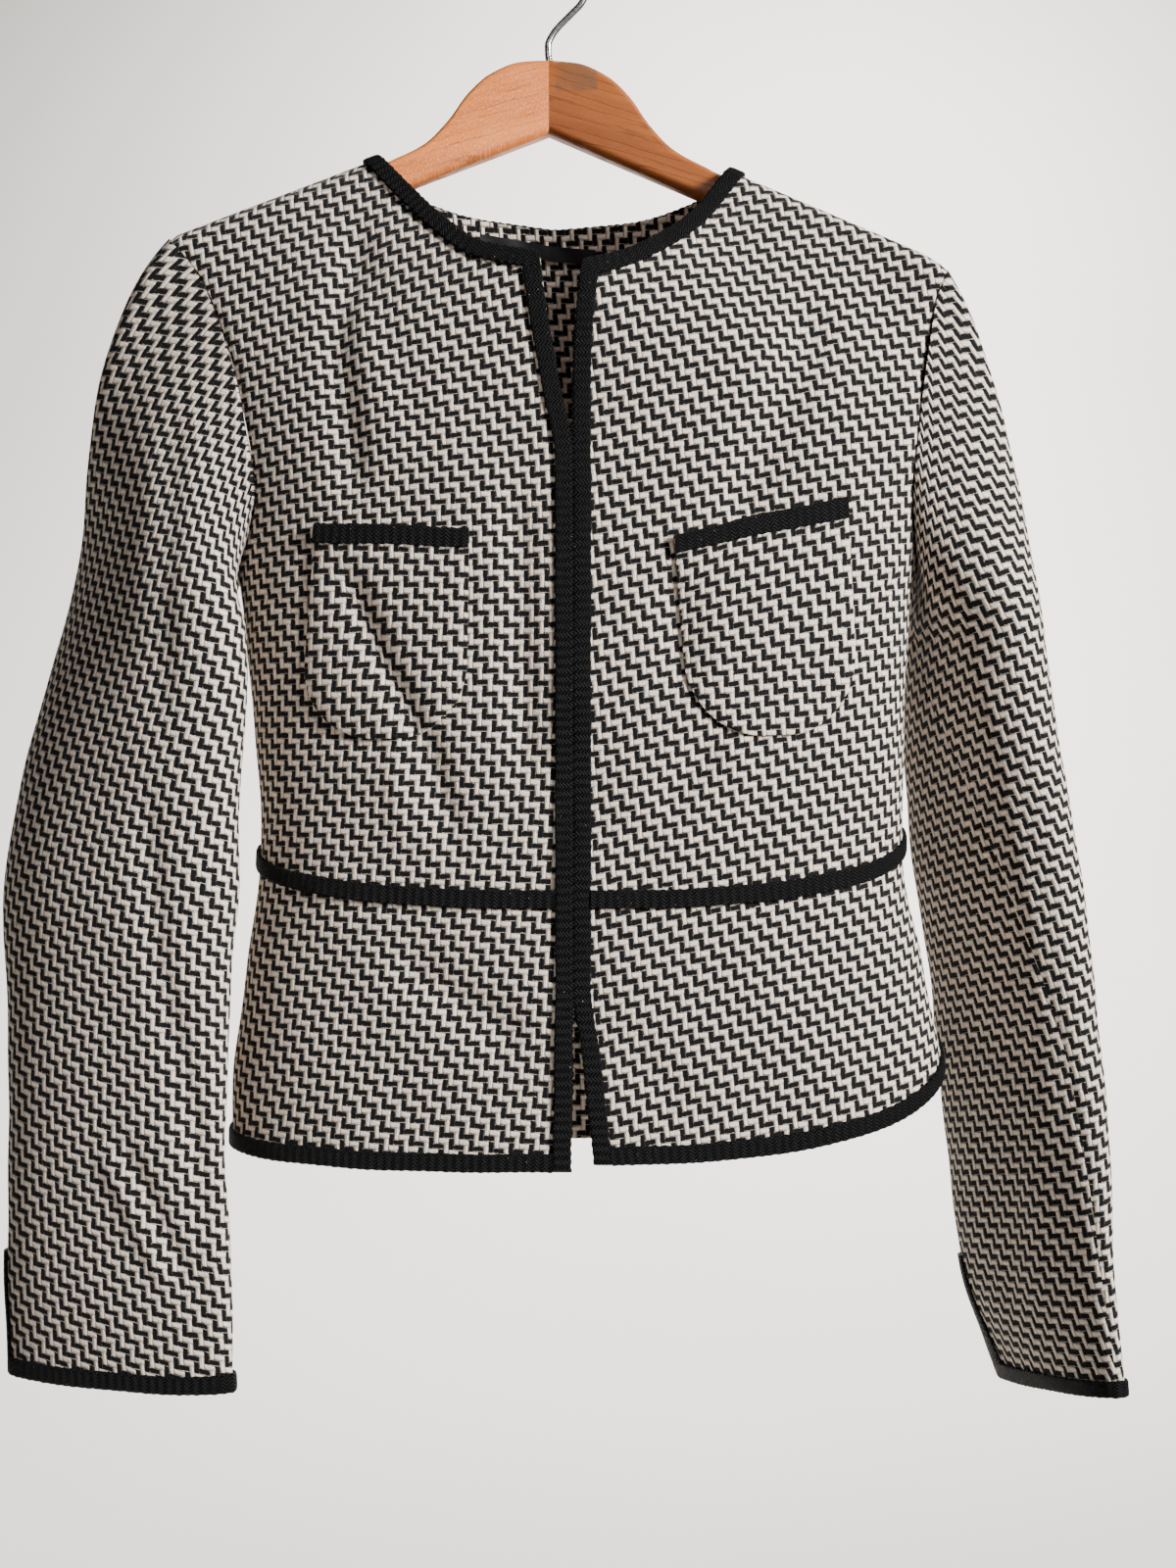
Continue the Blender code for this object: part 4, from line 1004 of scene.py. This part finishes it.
PLY = 0.0004
Pocket = namedtuple("Pocket", "x top width depth slant corner")
POCKETS = {
    RIGHT: Pocket(-0.0820, -0.3320, 0.086, 0.1085, -3.2, 0.040),
    LEFT: Pocket(0.1100, -0.3272, 0.0915, 0.1115, 13.2, 0.042),
}


def pocket_place(side, share, down):
    """Places on a pocket and its cloth: share runs -0.5 to 0.5 across it, down from its top edge."""
    pocket = POCKETS[side]
    left = np.clip(pocket.corner - (pocket.depth - down), 0.0, pocket.corner)
    cut = pocket.corner - np.sqrt(pocket.corner ** 2 - left ** 2)
    x = share * (pocket.width - 2 * cut * 0.92)
    if side == RIGHT:
        x = np.where(share < 0, x * (0.86 + 0.18 * down / pocket.depth), x)
    angle = math.radians(pocket.slant)
    height = pocket.top + x * math.sin(angle) * (1 - 0.8 * down / pocket.depth) - down
    spot = pocket.x + x * math.cos(angle) + down * math.sin(angle) * 0.35
    return across_at(side, spot, height), height, np.stack([x, -down], axis=-1)


for side, word in ((RIGHT, "right"), (LEFT, "left")):
    depth = POCKETS[side].depth
    share, down = np.meshgrid(bunched(44) - 0.5, np.sin(np.linspace(0.0, math.pi / 2, 46)) * depth)
    across, height, grain = pocket_place(side, share, down)
    points, normals = SKIN[FRONT](across, height)
    edge = np.minimum((0.5 - np.abs(share)) * POCKETS[side].width, depth - down)
    pillow = 0.0012 * (1 - np.exp(-edge / 0.004)) + PLY
    points = points + normals * pillow[..., None]
    piece = sew_shell("pocket_" + word + "_cloth", points, normals, grain, 0.0, CLOTH * 0.8, TWEED)
    flat = (POCKETS[side].width, depth)
    CUTS["pocket_" + word] = (place_piece(piece, ["pocket_" + word], "tweed"), (flat, cut_size(points)[1]))


# ---------------------------------------------------------------- label
# A plain strip of black satin sewn inside the back of the neck.

LABEL_MIDDLE = (-0.0072, -0.1585)
LABEL_SIZE = (0.067, 0.0080)
LABEL_CUT = (0.067, 0.0100)
LABEL_SLANT = -6.5
LABEL_THICK = 0.0006
LABEL_LIFT = 0.0020


def make_satin():
    """Close black satin with a faint lengthwise sheen."""
    material, tree, shader, grain = start_material("satin", 0.45)
    shader.inputs["Specular IOR Level"].default_value = 0.2
    u, v, _ = split(tree, grain)
    threads = join(tree, calc(tree, "MULTIPLY", u, 900.0), calc(tree, "MULTIPLY", v, 5200.0))
    fac, _ = mottle(tree, threads, 1.0, 2.0)
    dark = tint(tree, fac, (0.004, 0.004, 0.005, 1.0), (0.022, 0.021, 0.022, 1.0))
    tree.links.new(dark, shader.inputs["Base Color"])
    relief(tree, shader, fac, 0.00012)
    return material


share, tall = np.meshgrid(np.linspace(-0.5, 0.5, 60), np.linspace(0.5, -0.5, 12))
x = LABEL_MIDDLE[0] + share * LABEL_SIZE[0]
height = LABEL_MIDDLE[1] + tall * LABEL_SIZE[1] + share * LABEL_SIZE[0] * math.tan(math.radians(LABEL_SLANT))
middle = read_rows(BODY, height, "middle")
across = np.where(x >= middle, across_at(LEFT, x, height), across_at(RIGHT, x, height))
points, normals = SKIN[BACK](across, height)
wave = 0.0003 * np.sin(share * 19 + tall * 2)
points = points - normals * (CLOTH + LABEL_LIFT + LABEL_THICK + wave)[..., None]
grain = np.stack([share * LABEL_SIZE[0], tall * LABEL_SIZE[1]], axis=-1)
label = sew_shell("label_satin", points, normals, grain, 0.0, LABEL_THICK, make_satin())
place_piece(label, ["label"], "satin")
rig.sheet(label, flat=LABEL_CUT, held="laid", rests_on=["bodice_back_cloth"])


# ---------------------------------------------------------------- braid
# A flat black woven braid, with ribs that zigzag along it, sewn round every
# edge, over the waist seam, across the pockets and up the sleeve vents.

BRAID_WIDTH = 0.0085
BRAID_THICK = 0.0016
SEAM_LIFT = 0.0009
ZIGZAG = 0.0045
UNDER_VENT = {RIGHT: 9.0, LEFT: 34.0}
BRAID_SECTION = np.array([0.0, 0.05, 0.16, 0.33, 0.5, 0.67, 0.84, 0.95, 1.0])
BRAID_CROWN = np.array([0.45, 0.80, 0.97, 1.0, 1.0, 1.0, 0.97, 0.80, 0.45])


def make_braid():
    """Black ribs nested in zigzags, painted lighter on their crowns as a painted highlight, and pale specks painted
    here and there as glints.
    """
    material, tree, shader, grain = start_material("braid", 0.60)
    shader.inputs["Specular IOR Level"].default_value = 0.11
    u, v, _ = split(tree, grain)
    phase = calc(tree, "MULTIPLY", calc(tree, "PINGPONG", calc(tree, "DIVIDE", u, ZIGZAG / 2), 1.0), 0.0022)
    rib = calc(tree, "DIVIDE", calc(tree, "ADD", v, phase), 0.00185)
    across = calc(tree, "ABSOLUTE", calc(tree, "SUBTRACT", calc(tree, "FRACT", rib), 0.5))
    crown = calc(tree, "SUBTRACT", 1.0, calc(tree, "MULTIPLY", calc(tree, "POWER", across, 2.0), 4.0))
    place = join(tree, calc(tree, "MULTIPLY", u, 1000.0), calc(tree, "MULTIPLY", v, 1000.0))
    fuzz, _ = mottle(tree, place, 2.6, 3.0, 0.7)
    # painted highlight: the colour is lighter on the crowns of the ribs and darker between them; the fuzz adds a
    # random tone
    crown_highlight_and_fuzz = calc(tree, "ADD", calc(tree, "MULTIPLY", crown, 0.65), calc(tree, "MULTIPLY", fuzz, 0.55))
    dark = tint(tree, ease(tree, crown_highlight_and_fuzz, 0.45, 1.15), (0.0006, 0.0006, 0.0007, 1.0), (0.0120, 0.0120, 0.0130, 1.0))
    # painted glints: sparse pale specks put into the braid's colour
    glint_noise, _ = mottle(tree, place, 0.62, 1.0)
    pale = ease(tree, glint_noise, 0.770, 0.800)
    tree.links.new(tint(tree, pale, dark, (0.42, 0.40, 0.38, 1.0)), shader.inputs["Base Color"])
    relief(tree, shader, calc(tree, "ADD", crown, calc(tree, "MULTIPLY", fuzz, 0.4)), 0.0016)
    return material


BRAID = make_braid()


def lay_braid(name, skin, edge, inner, lift=PLY):
    """A braid on a skin, between two lines of places, crowned across and waved at its edges."""
    edge, inner = np.array(edge), np.array(inner)
    middle = (edge + inner) / 2
    spine = skin(middle[0], middle[1])[0]
    walk = np.concatenate([[0.0], np.cumsum(np.linalg.norm(np.diff(spine, axis=0), axis=-1))])
    tooth = 0.045 * np.sin(walk / ZIGZAG * 2 * math.pi) + 0.020 * np.sin(walk * 731)
    sway = 0.020 * np.sin(walk * 113) + 0.015 * np.sin(walk * 47 + 1.0)
    spread = 0.12 + tooth[:, None]
    share = BRAID_SECTION[None, :] + (BRAID_SECTION[None, :] - 0.5) * spread + sway[:, None]
    a = edge[0][:, None] * (1 - share) + inner[0][:, None] * share
    b = edge[1][:, None] * (1 - share) + inner[1][:, None] * share
    points, normals = skin(a, b)
    grain = np.stack([walk[:, None] + 0 * share, share * BRAID_WIDTH], axis=-1)
    high = (lift + BRAID_THICK * BRAID_CROWN)[None, :, None]
    piece = sew_shell(name + "_trim", points, normals, grain, lift, high, BRAID)
    return place_piece(piece, [name], "braid")


def level_braid(name, levels, face, below, above, centre_gap, lift=PLY):
    """A braid round the body, from one height to another about a level."""
    sides = [LEFT if name.endswith("left") else RIGHT] if face == FRONT else [RIGHT, LEFT]
    lines = [[], []]
    for side in sides:
        shares = np.linspace(0.0, 1.0, 190) ** EVEN
        if face == BACK and side == RIGHT:
            shares = shares[:0:-1]
        across = side * shares * SIDE_EDGE
        for line, shift in zip(lines, (below, above)):
            height = level_height(levels, face, side, across) + shift
            spot = across
            if face == FRONT:
                start = across_at(side, front_edge(side, height) + side * centre_gap, height)
                spot = start + (side * SIDE_EDGE - start) * shares
            line.append(np.array([spot, height]))
    edge, inner = [np.concatenate(line, axis=1) for line in lines]
    return lay_braid(name, SKIN[face], edge, inner, lift)


def neck_line(face, side, parts):
    """The two lines of the braid round a neckline, from the middle up to the shoulder seam."""
    rows = NECK[face, side]
    x, z = read_rows(rows, parts, "x"), read_rows(rows, parts, "height")
    ahead, behind = np.minimum(parts + 0.01, 1.0), np.maximum(parts - 0.01, 0.0)
    along = np.stack([read_rows(rows, ahead, "x") - read_rows(rows, behind, "x"),
                      read_rows(rows, ahead, "height") - read_rows(rows, behind, "height")], axis=-1)
    along = unit(along)
    outward = np.stack([along[:, 1] * side, -side * along[:, 0]], axis=-1)
    seamward = unit(np.array([side, -SHOULDER_SLOPE - TILT * side]))
    settle = np.clip((parts - 0.55) / 0.45, 0.0, 1.0)[:, None] ** 2
    outward = unit(outward * (1 - settle) + seamward * settle)
    last = parts >= 1.0
    z = np.where(last, seam_height(x), z)
    inner_x = x + outward[:, 0] * BRAID_WIDTH
    inner_z = np.where(last, seam_height(inner_x), z + outward[:, 1] * BRAID_WIDTH)
    if face == FRONT:
        inner_x = np.where(parts <= 0.0, front_edge(side, inner_z), inner_x)
    inner_z = np.minimum(inner_z, seam_height(inner_x))
    edge = np.array([across_at(side, x, z), z])
    inner = np.array([across_at(side, inner_x, inner_z), inner_z])
    if face == FRONT:
        for line in (edge, inner):
            limit = across_at(side, front_edge(side, line[1]), line[1])
            line[0] = np.maximum(line[0], limit) if side == LEFT else np.minimum(line[0], limit)
    return edge, inner


clear = BRAID_WIDTH + SEAM_GAP
half = BRAID_WIDTH / 2
parts = np.linspace(0.0, 1.0, 110)
TRIMS = {}
for side, word in ((RIGHT, "right"), (LEFT, "left")):
    heights = np.linspace(NECK[FRONT, side][0].height - 0.0002, level_height(HEM, FRONT, side, 0.0), 430)
    x = front_edge(side, heights)
    edge = [across_at(side, x, heights), heights]
    inner = [across_at(side, x + side * BRAID_WIDTH, heights), heights]
    TRIMS["edge_" + word] = lay_braid("edge_braid_" + word, SKIN[FRONT], edge, inner)
    TRIMS["hem_" + word] = level_braid("hem_braid_" + word, HEM, FRONT, 0.0, BRAID_WIDTH, clear)
    TRIMS["waist_" + word] = level_braid("waist_braid_" + word, WAIST, FRONT, -half, half, clear, SEAM_LIFT)
    TRIMS["neck_" + word] = lay_braid(
        "neck_braid_" + word, SKIN[FRONT], *neck_line(FRONT, side, parts), PLY * 2)
    share = np.linspace(-0.5, 0.5, 80)
    top = pocket_place(side, share, np.full(80, -0.0006))[:2]
    low = pocket_place(side, share, np.full(80, BRAID_WIDTH))[:2]
    TRIMS["pocket_" + word] = lay_braid("pocket_braid_" + word, SKIN[FRONT], top, low, PLY * 2 + CLOTH)
    length = SLEEVES[side][0].height - SLEEVES[side][-1].height
    band = BRAID_WIDTH / length
    cuff = float(sleeve_seam_angle(side, HIND_SEAM, np.array(2.0)))
    angles = np.linspace(HIND_SEAM - 360 + cuff, HIND_SEAM - cuff, 260)
    lines = [[angles, np.full(260, row)] for row in (2.0, 2.0 - band)]
    TRIMS["cuff_" + word] = lay_braid("cuff_braid_" + word, SLEEVE_SKIN[side], *lines)
    rows = np.linspace(1 + VENT_RINGS, 2 - band - SEAM_GAP / length, 50)
    vent = HIND_SEAM - 360 + sleeve_seam_angle(side, HIND_SEAM, rows)
    lines = [[vent, rows], [np.full(50, VENT_BRAID_END), rows]]
    TRIMS["vent_" + word] = lay_braid("vent_braid_" + word, SLEEVE_SKIN[side], *lines)
    under = HIND_SEAM - sleeve_seam_angle(side, HIND_SEAM, rows)
    lines = [[under, rows], [under - UNDER_VENT[side], rows]]
    TRIMS["under_vent_" + word] = lay_braid("vent_braid_" + word, SLEEVE_SKIN[side], *lines)
    TRIMS["under_vent_" + word].name = "vent_under_" + word + "_trim"
TRIMS["hem_back"] = level_braid("hem_braid_back", HEM, BACK, 0.0, BRAID_WIDTH, 0.0)
TRIMS["waist_back"] = level_braid("waist_braid_back", WAIST, BACK, -half, half, 0.0, SEAM_LIFT)
lines = zip(neck_line(BACK, RIGHT, parts), neck_line(BACK, LEFT, parts))
edge, inner = [np.concatenate([right[:, :0:-1], left], axis=1) for right, left in lines]
TRIMS["neck_back"] = lay_braid("neck_braid_back", SKIN[BACK], edge, inner)

# each panel is a sheet of tweed, with the braid that is sewn to it
WORN_WITH = {
    "bodice_back": ["neck_back"],
    "peplum_back": ["hem_back", "waist_back"],
}
for word in ("right", "left"):
    WORN_WITH["bodice_front_" + word] = ["edge_" + word, "neck_" + word]
    WORN_WITH["peplum_front_" + word] = ["hem_" + word, "waist_" + word]
    WORN_WITH["pocket_" + word] = ["pocket_" + word]
    WORN_WITH["upper_sleeve_" + word] = ["cuff_" + word, "vent_" + word]
    WORN_WITH["under_sleeve_" + word] = ["under_vent_" + word]
for name, (piece, (flat, area)) in CUTS.items():
    held, holds = "hung", ["hanger_arm_left_wood", "hanger_arm_right_wood"]
    if name.startswith("pocket"):
        held, holds = "laid", [name.replace("pocket", "bodice_front") + "_cloth"]
    trims = [TRIMS[trim] for trim in WORN_WITH[name]]
    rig.sheet(piece, flat=flat, held=held, rests_on=holds, area=area, with_pieces=trims)


# ---------------------------------------------------------------- hanger arms
# Two arms of varnished wood, planed round and mitred together at the neck,
# sweeping forward to rounded ends.  The right arm has the livelier grain; its
# colours are painted lighter than the left's and given a painted sheen, for the light it catches.

ARM_THICK = 0.0135
ArmRow = namedtuple("ArmRow", "x top")
ARM_TOP = [
    ArmRow(0.000, -0.0640),
    ArmRow(0.016, -0.0663),
    ArmRow(0.0323, -0.0742),
    ArmRow(0.0446, -0.0862),
    ArmRow(0.0549, -0.1014),
    ArmRow(0.068, -0.1155),
    ArmRow(0.088, -0.1272),
]
ARM_APEX = -0.105
ARM_LOWER_SLOPE = 0.462
ARM_CLEAR = CLOTH + 0.0024


def make_wood(name, light, deep, line, painted_sheen_share, residue):
    """Varnished wood: soft bands and thin dark lines along the arm, and a fine cross figure painted lighter as a
    painted sheen.
    """
    material, tree, shader, grain = start_material(name, 0.42, coat_weight=0.04, coat_roughness=0.3)
    u, v, _ = split(tree, grain)
    long = join(tree, calc(tree, "MULTIPLY", u, 9.0), calc(tree, "MULTIPLY", v, 120.0))
    band, _ = mottle(tree, long, 1.0, 4.0, 0.6)
    color = tint(tree, ease(tree, band, 0.3, 0.7), light, deep)
    warp = calc(tree, "MULTIPLY", band, 2.6)
    ring = calc(tree, "FRACT", calc(tree, "ADD", calc(tree, "DIVIDE", v, 0.0058), warp))
    thin = ease(tree, calc(tree, "ABSOLUTE", calc(tree, "SUBTRACT", ring, 0.5)), 0.10, 0.0)
    faint = ease(tree, mottle(tree, join(tree, u, v), 60.0)[0], 0.35, 0.65, 0.1, 0.65)
    color = tint(tree, calc(tree, "MULTIPLY", thin, faint), color, line)
    cross = join(tree, calc(tree, "MULTIPLY", u, 1300.0), calc(tree, "MULTIPLY", v, 620.0))
    figure, _ = mottle(tree, cross, 1.0, 2.0, 0.6)
    # painted sheen: the cross figure is painted lighter, by a share set for each arm
    bright = calc(tree, "MULTIPLY", ease(tree, figure, 0.48, 0.68), painted_sheen_share)
    color = tint(tree, bright, color, (0.86, 0.50, 0.24, 1.0))
    place = join(tree, calc(tree, "MULTIPLY", u, 70.0), calc(tree, "MULTIPLY", v, 100.0))
    scuff, _ = mottle(tree, place, 1.0, 4.0, 0.65)
    color = tint(tree, calc(tree, "MULTIPLY", ease(tree, scuff, 0.62, 0.72), 0.35), color, line)
    if residue:
        # a square of old glue, left where a sticker was
        x = calc(tree, "DIVIDE", calc(tree, "SUBTRACT", u, 0.7), 1.1)
        height = calc(tree, "SUBTRACT", v, calc(tree, "MULTIPLY", x, WOOD_GRAIN_SLOPE))
        patch = calc(tree, "MULTIPLY", ease(tree, x, 0.0030, 0.0045), ease(tree, x, 0.0270, 0.0262))
        patch = calc(tree, "MULTIPLY", patch, ease(tree, height, -0.0895, -0.0880))
        patch = calc(tree, "MULTIPLY", patch, ease(tree, height, -0.0700, -0.0712))
        patch = calc(tree, "MULTIPLY", patch, ease(tree, scuff, 0.30, 0.62, 0.15, 0.75))
        color = tint(tree, patch, color, (0.155, 0.080, 0.040, 1.0))
    tree.links.new(color, shader.inputs["Base Color"])
    tree.links.new(ease(tree, scuff, 0.4, 0.7, 0.36, 0.55), shader.inputs["Roughness"])
    relief(tree, shader, calc(tree, "SUBTRACT", calc(tree, "MULTIPLY", figure, 0.5), thin), 0.00012)
    return material


WOOD_GRAIN_SLOPE = 0.36
# the right arm's colours are painted about twice as light as the left's: painted light over its livelier grain, with
# the left arm's darker copy standing for the shaded arm
WOODS = {
    RIGHT: make_wood("wood_lively", (0.76, 0.205, 0.034, 1.0), (0.56, 0.135, 0.020, 1.0),
                     (0.24, 0.060, 0.014, 1.0), 0.45, False),
    LEFT: make_wood("wood_plain", (0.40, 0.112, 0.022, 1.0), (0.29, 0.074, 0.014, 1.0),
                    (0.16, 0.050, 0.018, 1.0), 0.06, True),
}


def rounded_bar(half_y, half_z, radius, count=7):
    """The outline of a bar with rounded edges."""
    outline = []
    for start, sign_y, sign_z in ((0, 1, 1), (90, -1, 1), (180, -1, -1), (270, 1, -1)):
        for angle in np.radians(np.linspace(start, start + 90, count)):
            outline.append((sign_y * (half_y - radius) + radius * math.cos(angle),
                            sign_z * (half_z - radius) + radius * math.sin(angle)))
    return outline


for side, word in ((RIGHT, "right"), (LEFT, "left")):
    stations = [0.00003] + list(np.linspace(0.003, ARM_END_X - 0.008, 90))
    stations += list(ARM_END_X - 0.008 * np.cos(np.linspace(0.15, 1.0, 12) * math.pi / 2))
    points, grain, faces = [], [], []
    for x in stations:
        top = float(read_rows(ARM_TOP, np.array(x), "top")) - TILT * side * x
        if x >= ARM_TOP[-1].x:
            top = float(seam_height(side * x)) - ARM_CLEAR
        bottom = ARM_APEX - ARM_LOWER_SLOPE * x - TILT * side * x
        closing = max((x - ARM_END_X + 0.008) / 0.008, 0.0)
        shrink = math.sqrt(max(1 - (closing * 0.985) ** 2, 0.0))
        tall = (top - bottom) / 2 * shrink
        deep = ARM_THICK / 2 * (0.45 + 0.55 * shrink)
        along = x * 1.1 + (0.0 if side == RIGHT else 0.7)
        for y, z in rounded_bar(deep, tall, min(0.0048, tall * 0.8, deep * 0.8)):
            points.append((side * x, -ARM_SWEEP * x + y, (top + bottom) / 2 + z))
            grain.append((along, (top + bottom) / 2 + z + y * 0.8 + WOOD_GRAIN_SLOPE * x))
    ring = len(points) // len(stations)
    for i in range(len(stations) - 1):
        for j in range(ring):
            k = (j + 1) % ring
            faces.append((i * ring + j, i * ring + k, (i + 1) * ring + k, (i + 1) * ring + j))
    faces.append(tuple(range(ring)))
    faces.append(tuple(range((len(stations) - 1) * ring, len(stations) * ring)))
    arm = raise_mesh("hanger_arm_" + word + "_wood", np.array(points), faces, np.array(grain), WOODS[side])
    place_piece(arm, ["hanger_arm_" + word], "wood")


# ---------------------------------------------------------------- hook
# One piece of bright steel wire, screwed up out of the mitre, leaning a little
# and bent round at the top.  On the real hanger it can swivel.

WIRE = 0.0038
HOOK_RADIUS = 0.0195 + WIRE / 2
Stem = namedtuple("Stem", "x height")
STEM = [
    Stem(0.0000, -0.0635),
    Stem(-0.0006, -0.0585),
    Stem(-0.0006, -0.0545),
    Stem(0.0012, -0.0500),
    Stem(0.0048, -0.0450),
    Stem(0.0092, -0.0405),
]


def make_steel():
    """Drawn steel, a little pitted."""
    material, tree, shader, grain = start_material("steel", 0.24, metallic=1.0)
    place = join(tree, *split(tree, grain)[:2])
    fac, _ = mottle(tree, place, 900.0, 3.0, 0.6)
    color = tint(tree, ease(tree, fac, 0.35, 0.75), (0.66, 0.66, 0.65, 1.0), (0.30, 0.29, 0.28, 1.0))
    tree.links.new(color, shader.inputs["Base Color"])
    tree.links.new(ease(tree, fac, 0.4, 0.8, 0.18, 0.42), shader.inputs["Roughness"])
    relief(tree, shader, fac, 0.00008)
    return material


def wire_tube(name, route, radius, material, sides=14):
    """A round wire along a line of points."""
    route = np.array(route)
    along = unit(np.gradient(route, axis=0))
    across = unit(np.cross(along, np.array([0.0, 1.0, 0.0])))
    other = np.cross(along, across)
    angles = np.linspace(0.0, 2 * math.pi, sides, endpoint=False)
    ring = across[:, None] * np.cos(angles)[None, :, None] + other[:, None] * np.sin(angles)[None, :, None]
    points = (route[:, None] + ring * radius).reshape(-1, 3)
    walk = np.concatenate([[0.0], np.cumsum(np.linalg.norm(np.diff(route, axis=0), axis=1))])
    grain = np.stack(np.broadcast_arrays(walk[:, None], angles[None, :] * radius), axis=-1).reshape(-1, 2)
    faces = []
    for i in range(len(route) - 1):
        for j in range(sides):
            k = (j + 1) % sides
            faces.append((i * sides + j, i * sides + k, (i + 1) * sides + k, (i + 1) * sides + j))
    faces += [tuple(range(sides)), tuple(range((len(route) - 1) * sides, len(route) * sides))]
    return raise_mesh(name, points, faces, grain, material)


turns = np.radians(np.linspace(-50, 205, 90))
bend_x = HOOK_RADIUS * np.cos(turns)
bend_z = HOOK_RADIUS * np.sin(turns) - HOOK_RADIUS + WIRE / 2
stem_z = np.linspace(STEM[0].height, STEM[-1].height, 26)
stem_x = read_rows([(Stem(row.height, row.x)) for row in STEM], stem_z, "height")
route = [(x, 0.0, z) for x, z in zip(stem_x, stem_z)] + [(x, 0.0, z) for x, z in zip(bend_x, bend_z)]
hook = wire_tube("hook_wire", route, WIRE / 2, make_steel())
place_piece(hook, ["hook"], "steel")


# ---------------------------------------------------------------- studio
# A pale sweep far behind, one broad soft light high on the wearer's left and
# a weak fill, so that the faces turned the other way fall into shade.

def make_paper():
    """Plain pale paper."""
    material, tree, shader, grain = start_material("paper", 0.95)
    place = tree.nodes.new("ShaderNodeTexCoord").outputs["Object"]
    fac, _ = mottle(tree, place, 2.0, 2.0)
    tree.links.new(tint(tree, fac, (0.83, 0.785, 0.735, 1.0), (0.87, 0.83, 0.785, 1.0)), shader.inputs["Base Color"])
    return material


paper = make_paper()
sweep = [(-7.0, -1.35)]
sweep += [(1.4 + 1.9 * math.sin(turn), 0.55 - 1.9 * math.cos(turn)) for turn in np.linspace(0, math.pi / 2, 24)]
sweep += [(3.3, 7.0)]
corners = np.array([(x, y, z) for y, z in sweep for x in (-9.0, 9.0)])
faces = [(i, i + 1, i + 3, i + 2) for i in range(0, len(corners) - 2, 2)]
backdrop = raise_mesh("backdrop", corners, faces, corners[:, :2], paper)
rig.stage(backdrop)


def soft_light(name, place, towards, size, power_watts, spread):
    """A square soft light aimed at a point, kept within a spread in degrees."""
    data = bpy.data.lights.new(name, "AREA")
    data.size = size
    data.spread = math.radians(spread)
    data.energy = power_watts
    lamp = bpy.data.objects.new(name, data)
    lamp.location = place
    aim = Vector(towards) - Vector(place)
    lamp.rotation_euler = aim.to_track_quat("-Z", "Y").to_euler()
    bpy.context.scene.collection.objects.link(lamp)


soft_light("window", (2.55, -1.66, 0.60), (0.05, -0.03, -0.40), 0.95, 28, 50)
soft_light("fill", (-0.6, -2.4, 0.3), (0.0, 0.0, -0.45), 1.6, 1.4, 60)
soft_light("wall_wash", (0.9, 0.9, 1.9), (0.2, 3.2, -0.6), 1.6, 178, 110)
soft_light("floor_wash", (0.0, -4.2, 2.6), (0.0, -4.2, -3.0), 2.2, 45, 100)
world = bpy.data.worlds.new("studio")
world.use_nodes = True
world.node_tree.nodes["Background"].inputs["Color"].default_value = (1.0, 0.99, 0.98, 1.0)
world.node_tree.nodes["Background"].inputs["Strength"].default_value = 0.035
bpy.context.scene.world = world

camera_data = bpy.data.cameras.new("camera")
camera_data.lens = 41.92
camera = bpy.data.objects.new("camera", camera_data)
camera.location = (0.0215, -1.012, -0.464)
camera.rotation_euler = (math.pi / 2, 0.0, 0.0)
bpy.context.scene.collection.objects.link(camera)
bpy.context.scene.camera = camera

new_low, new_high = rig.bounds()
with open("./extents.json", "w") as sizes:
    json.dump({"cad": [list(cad_low), list(cad_high)], "scene": [list(new_low), list(new_high)]}, sizes)
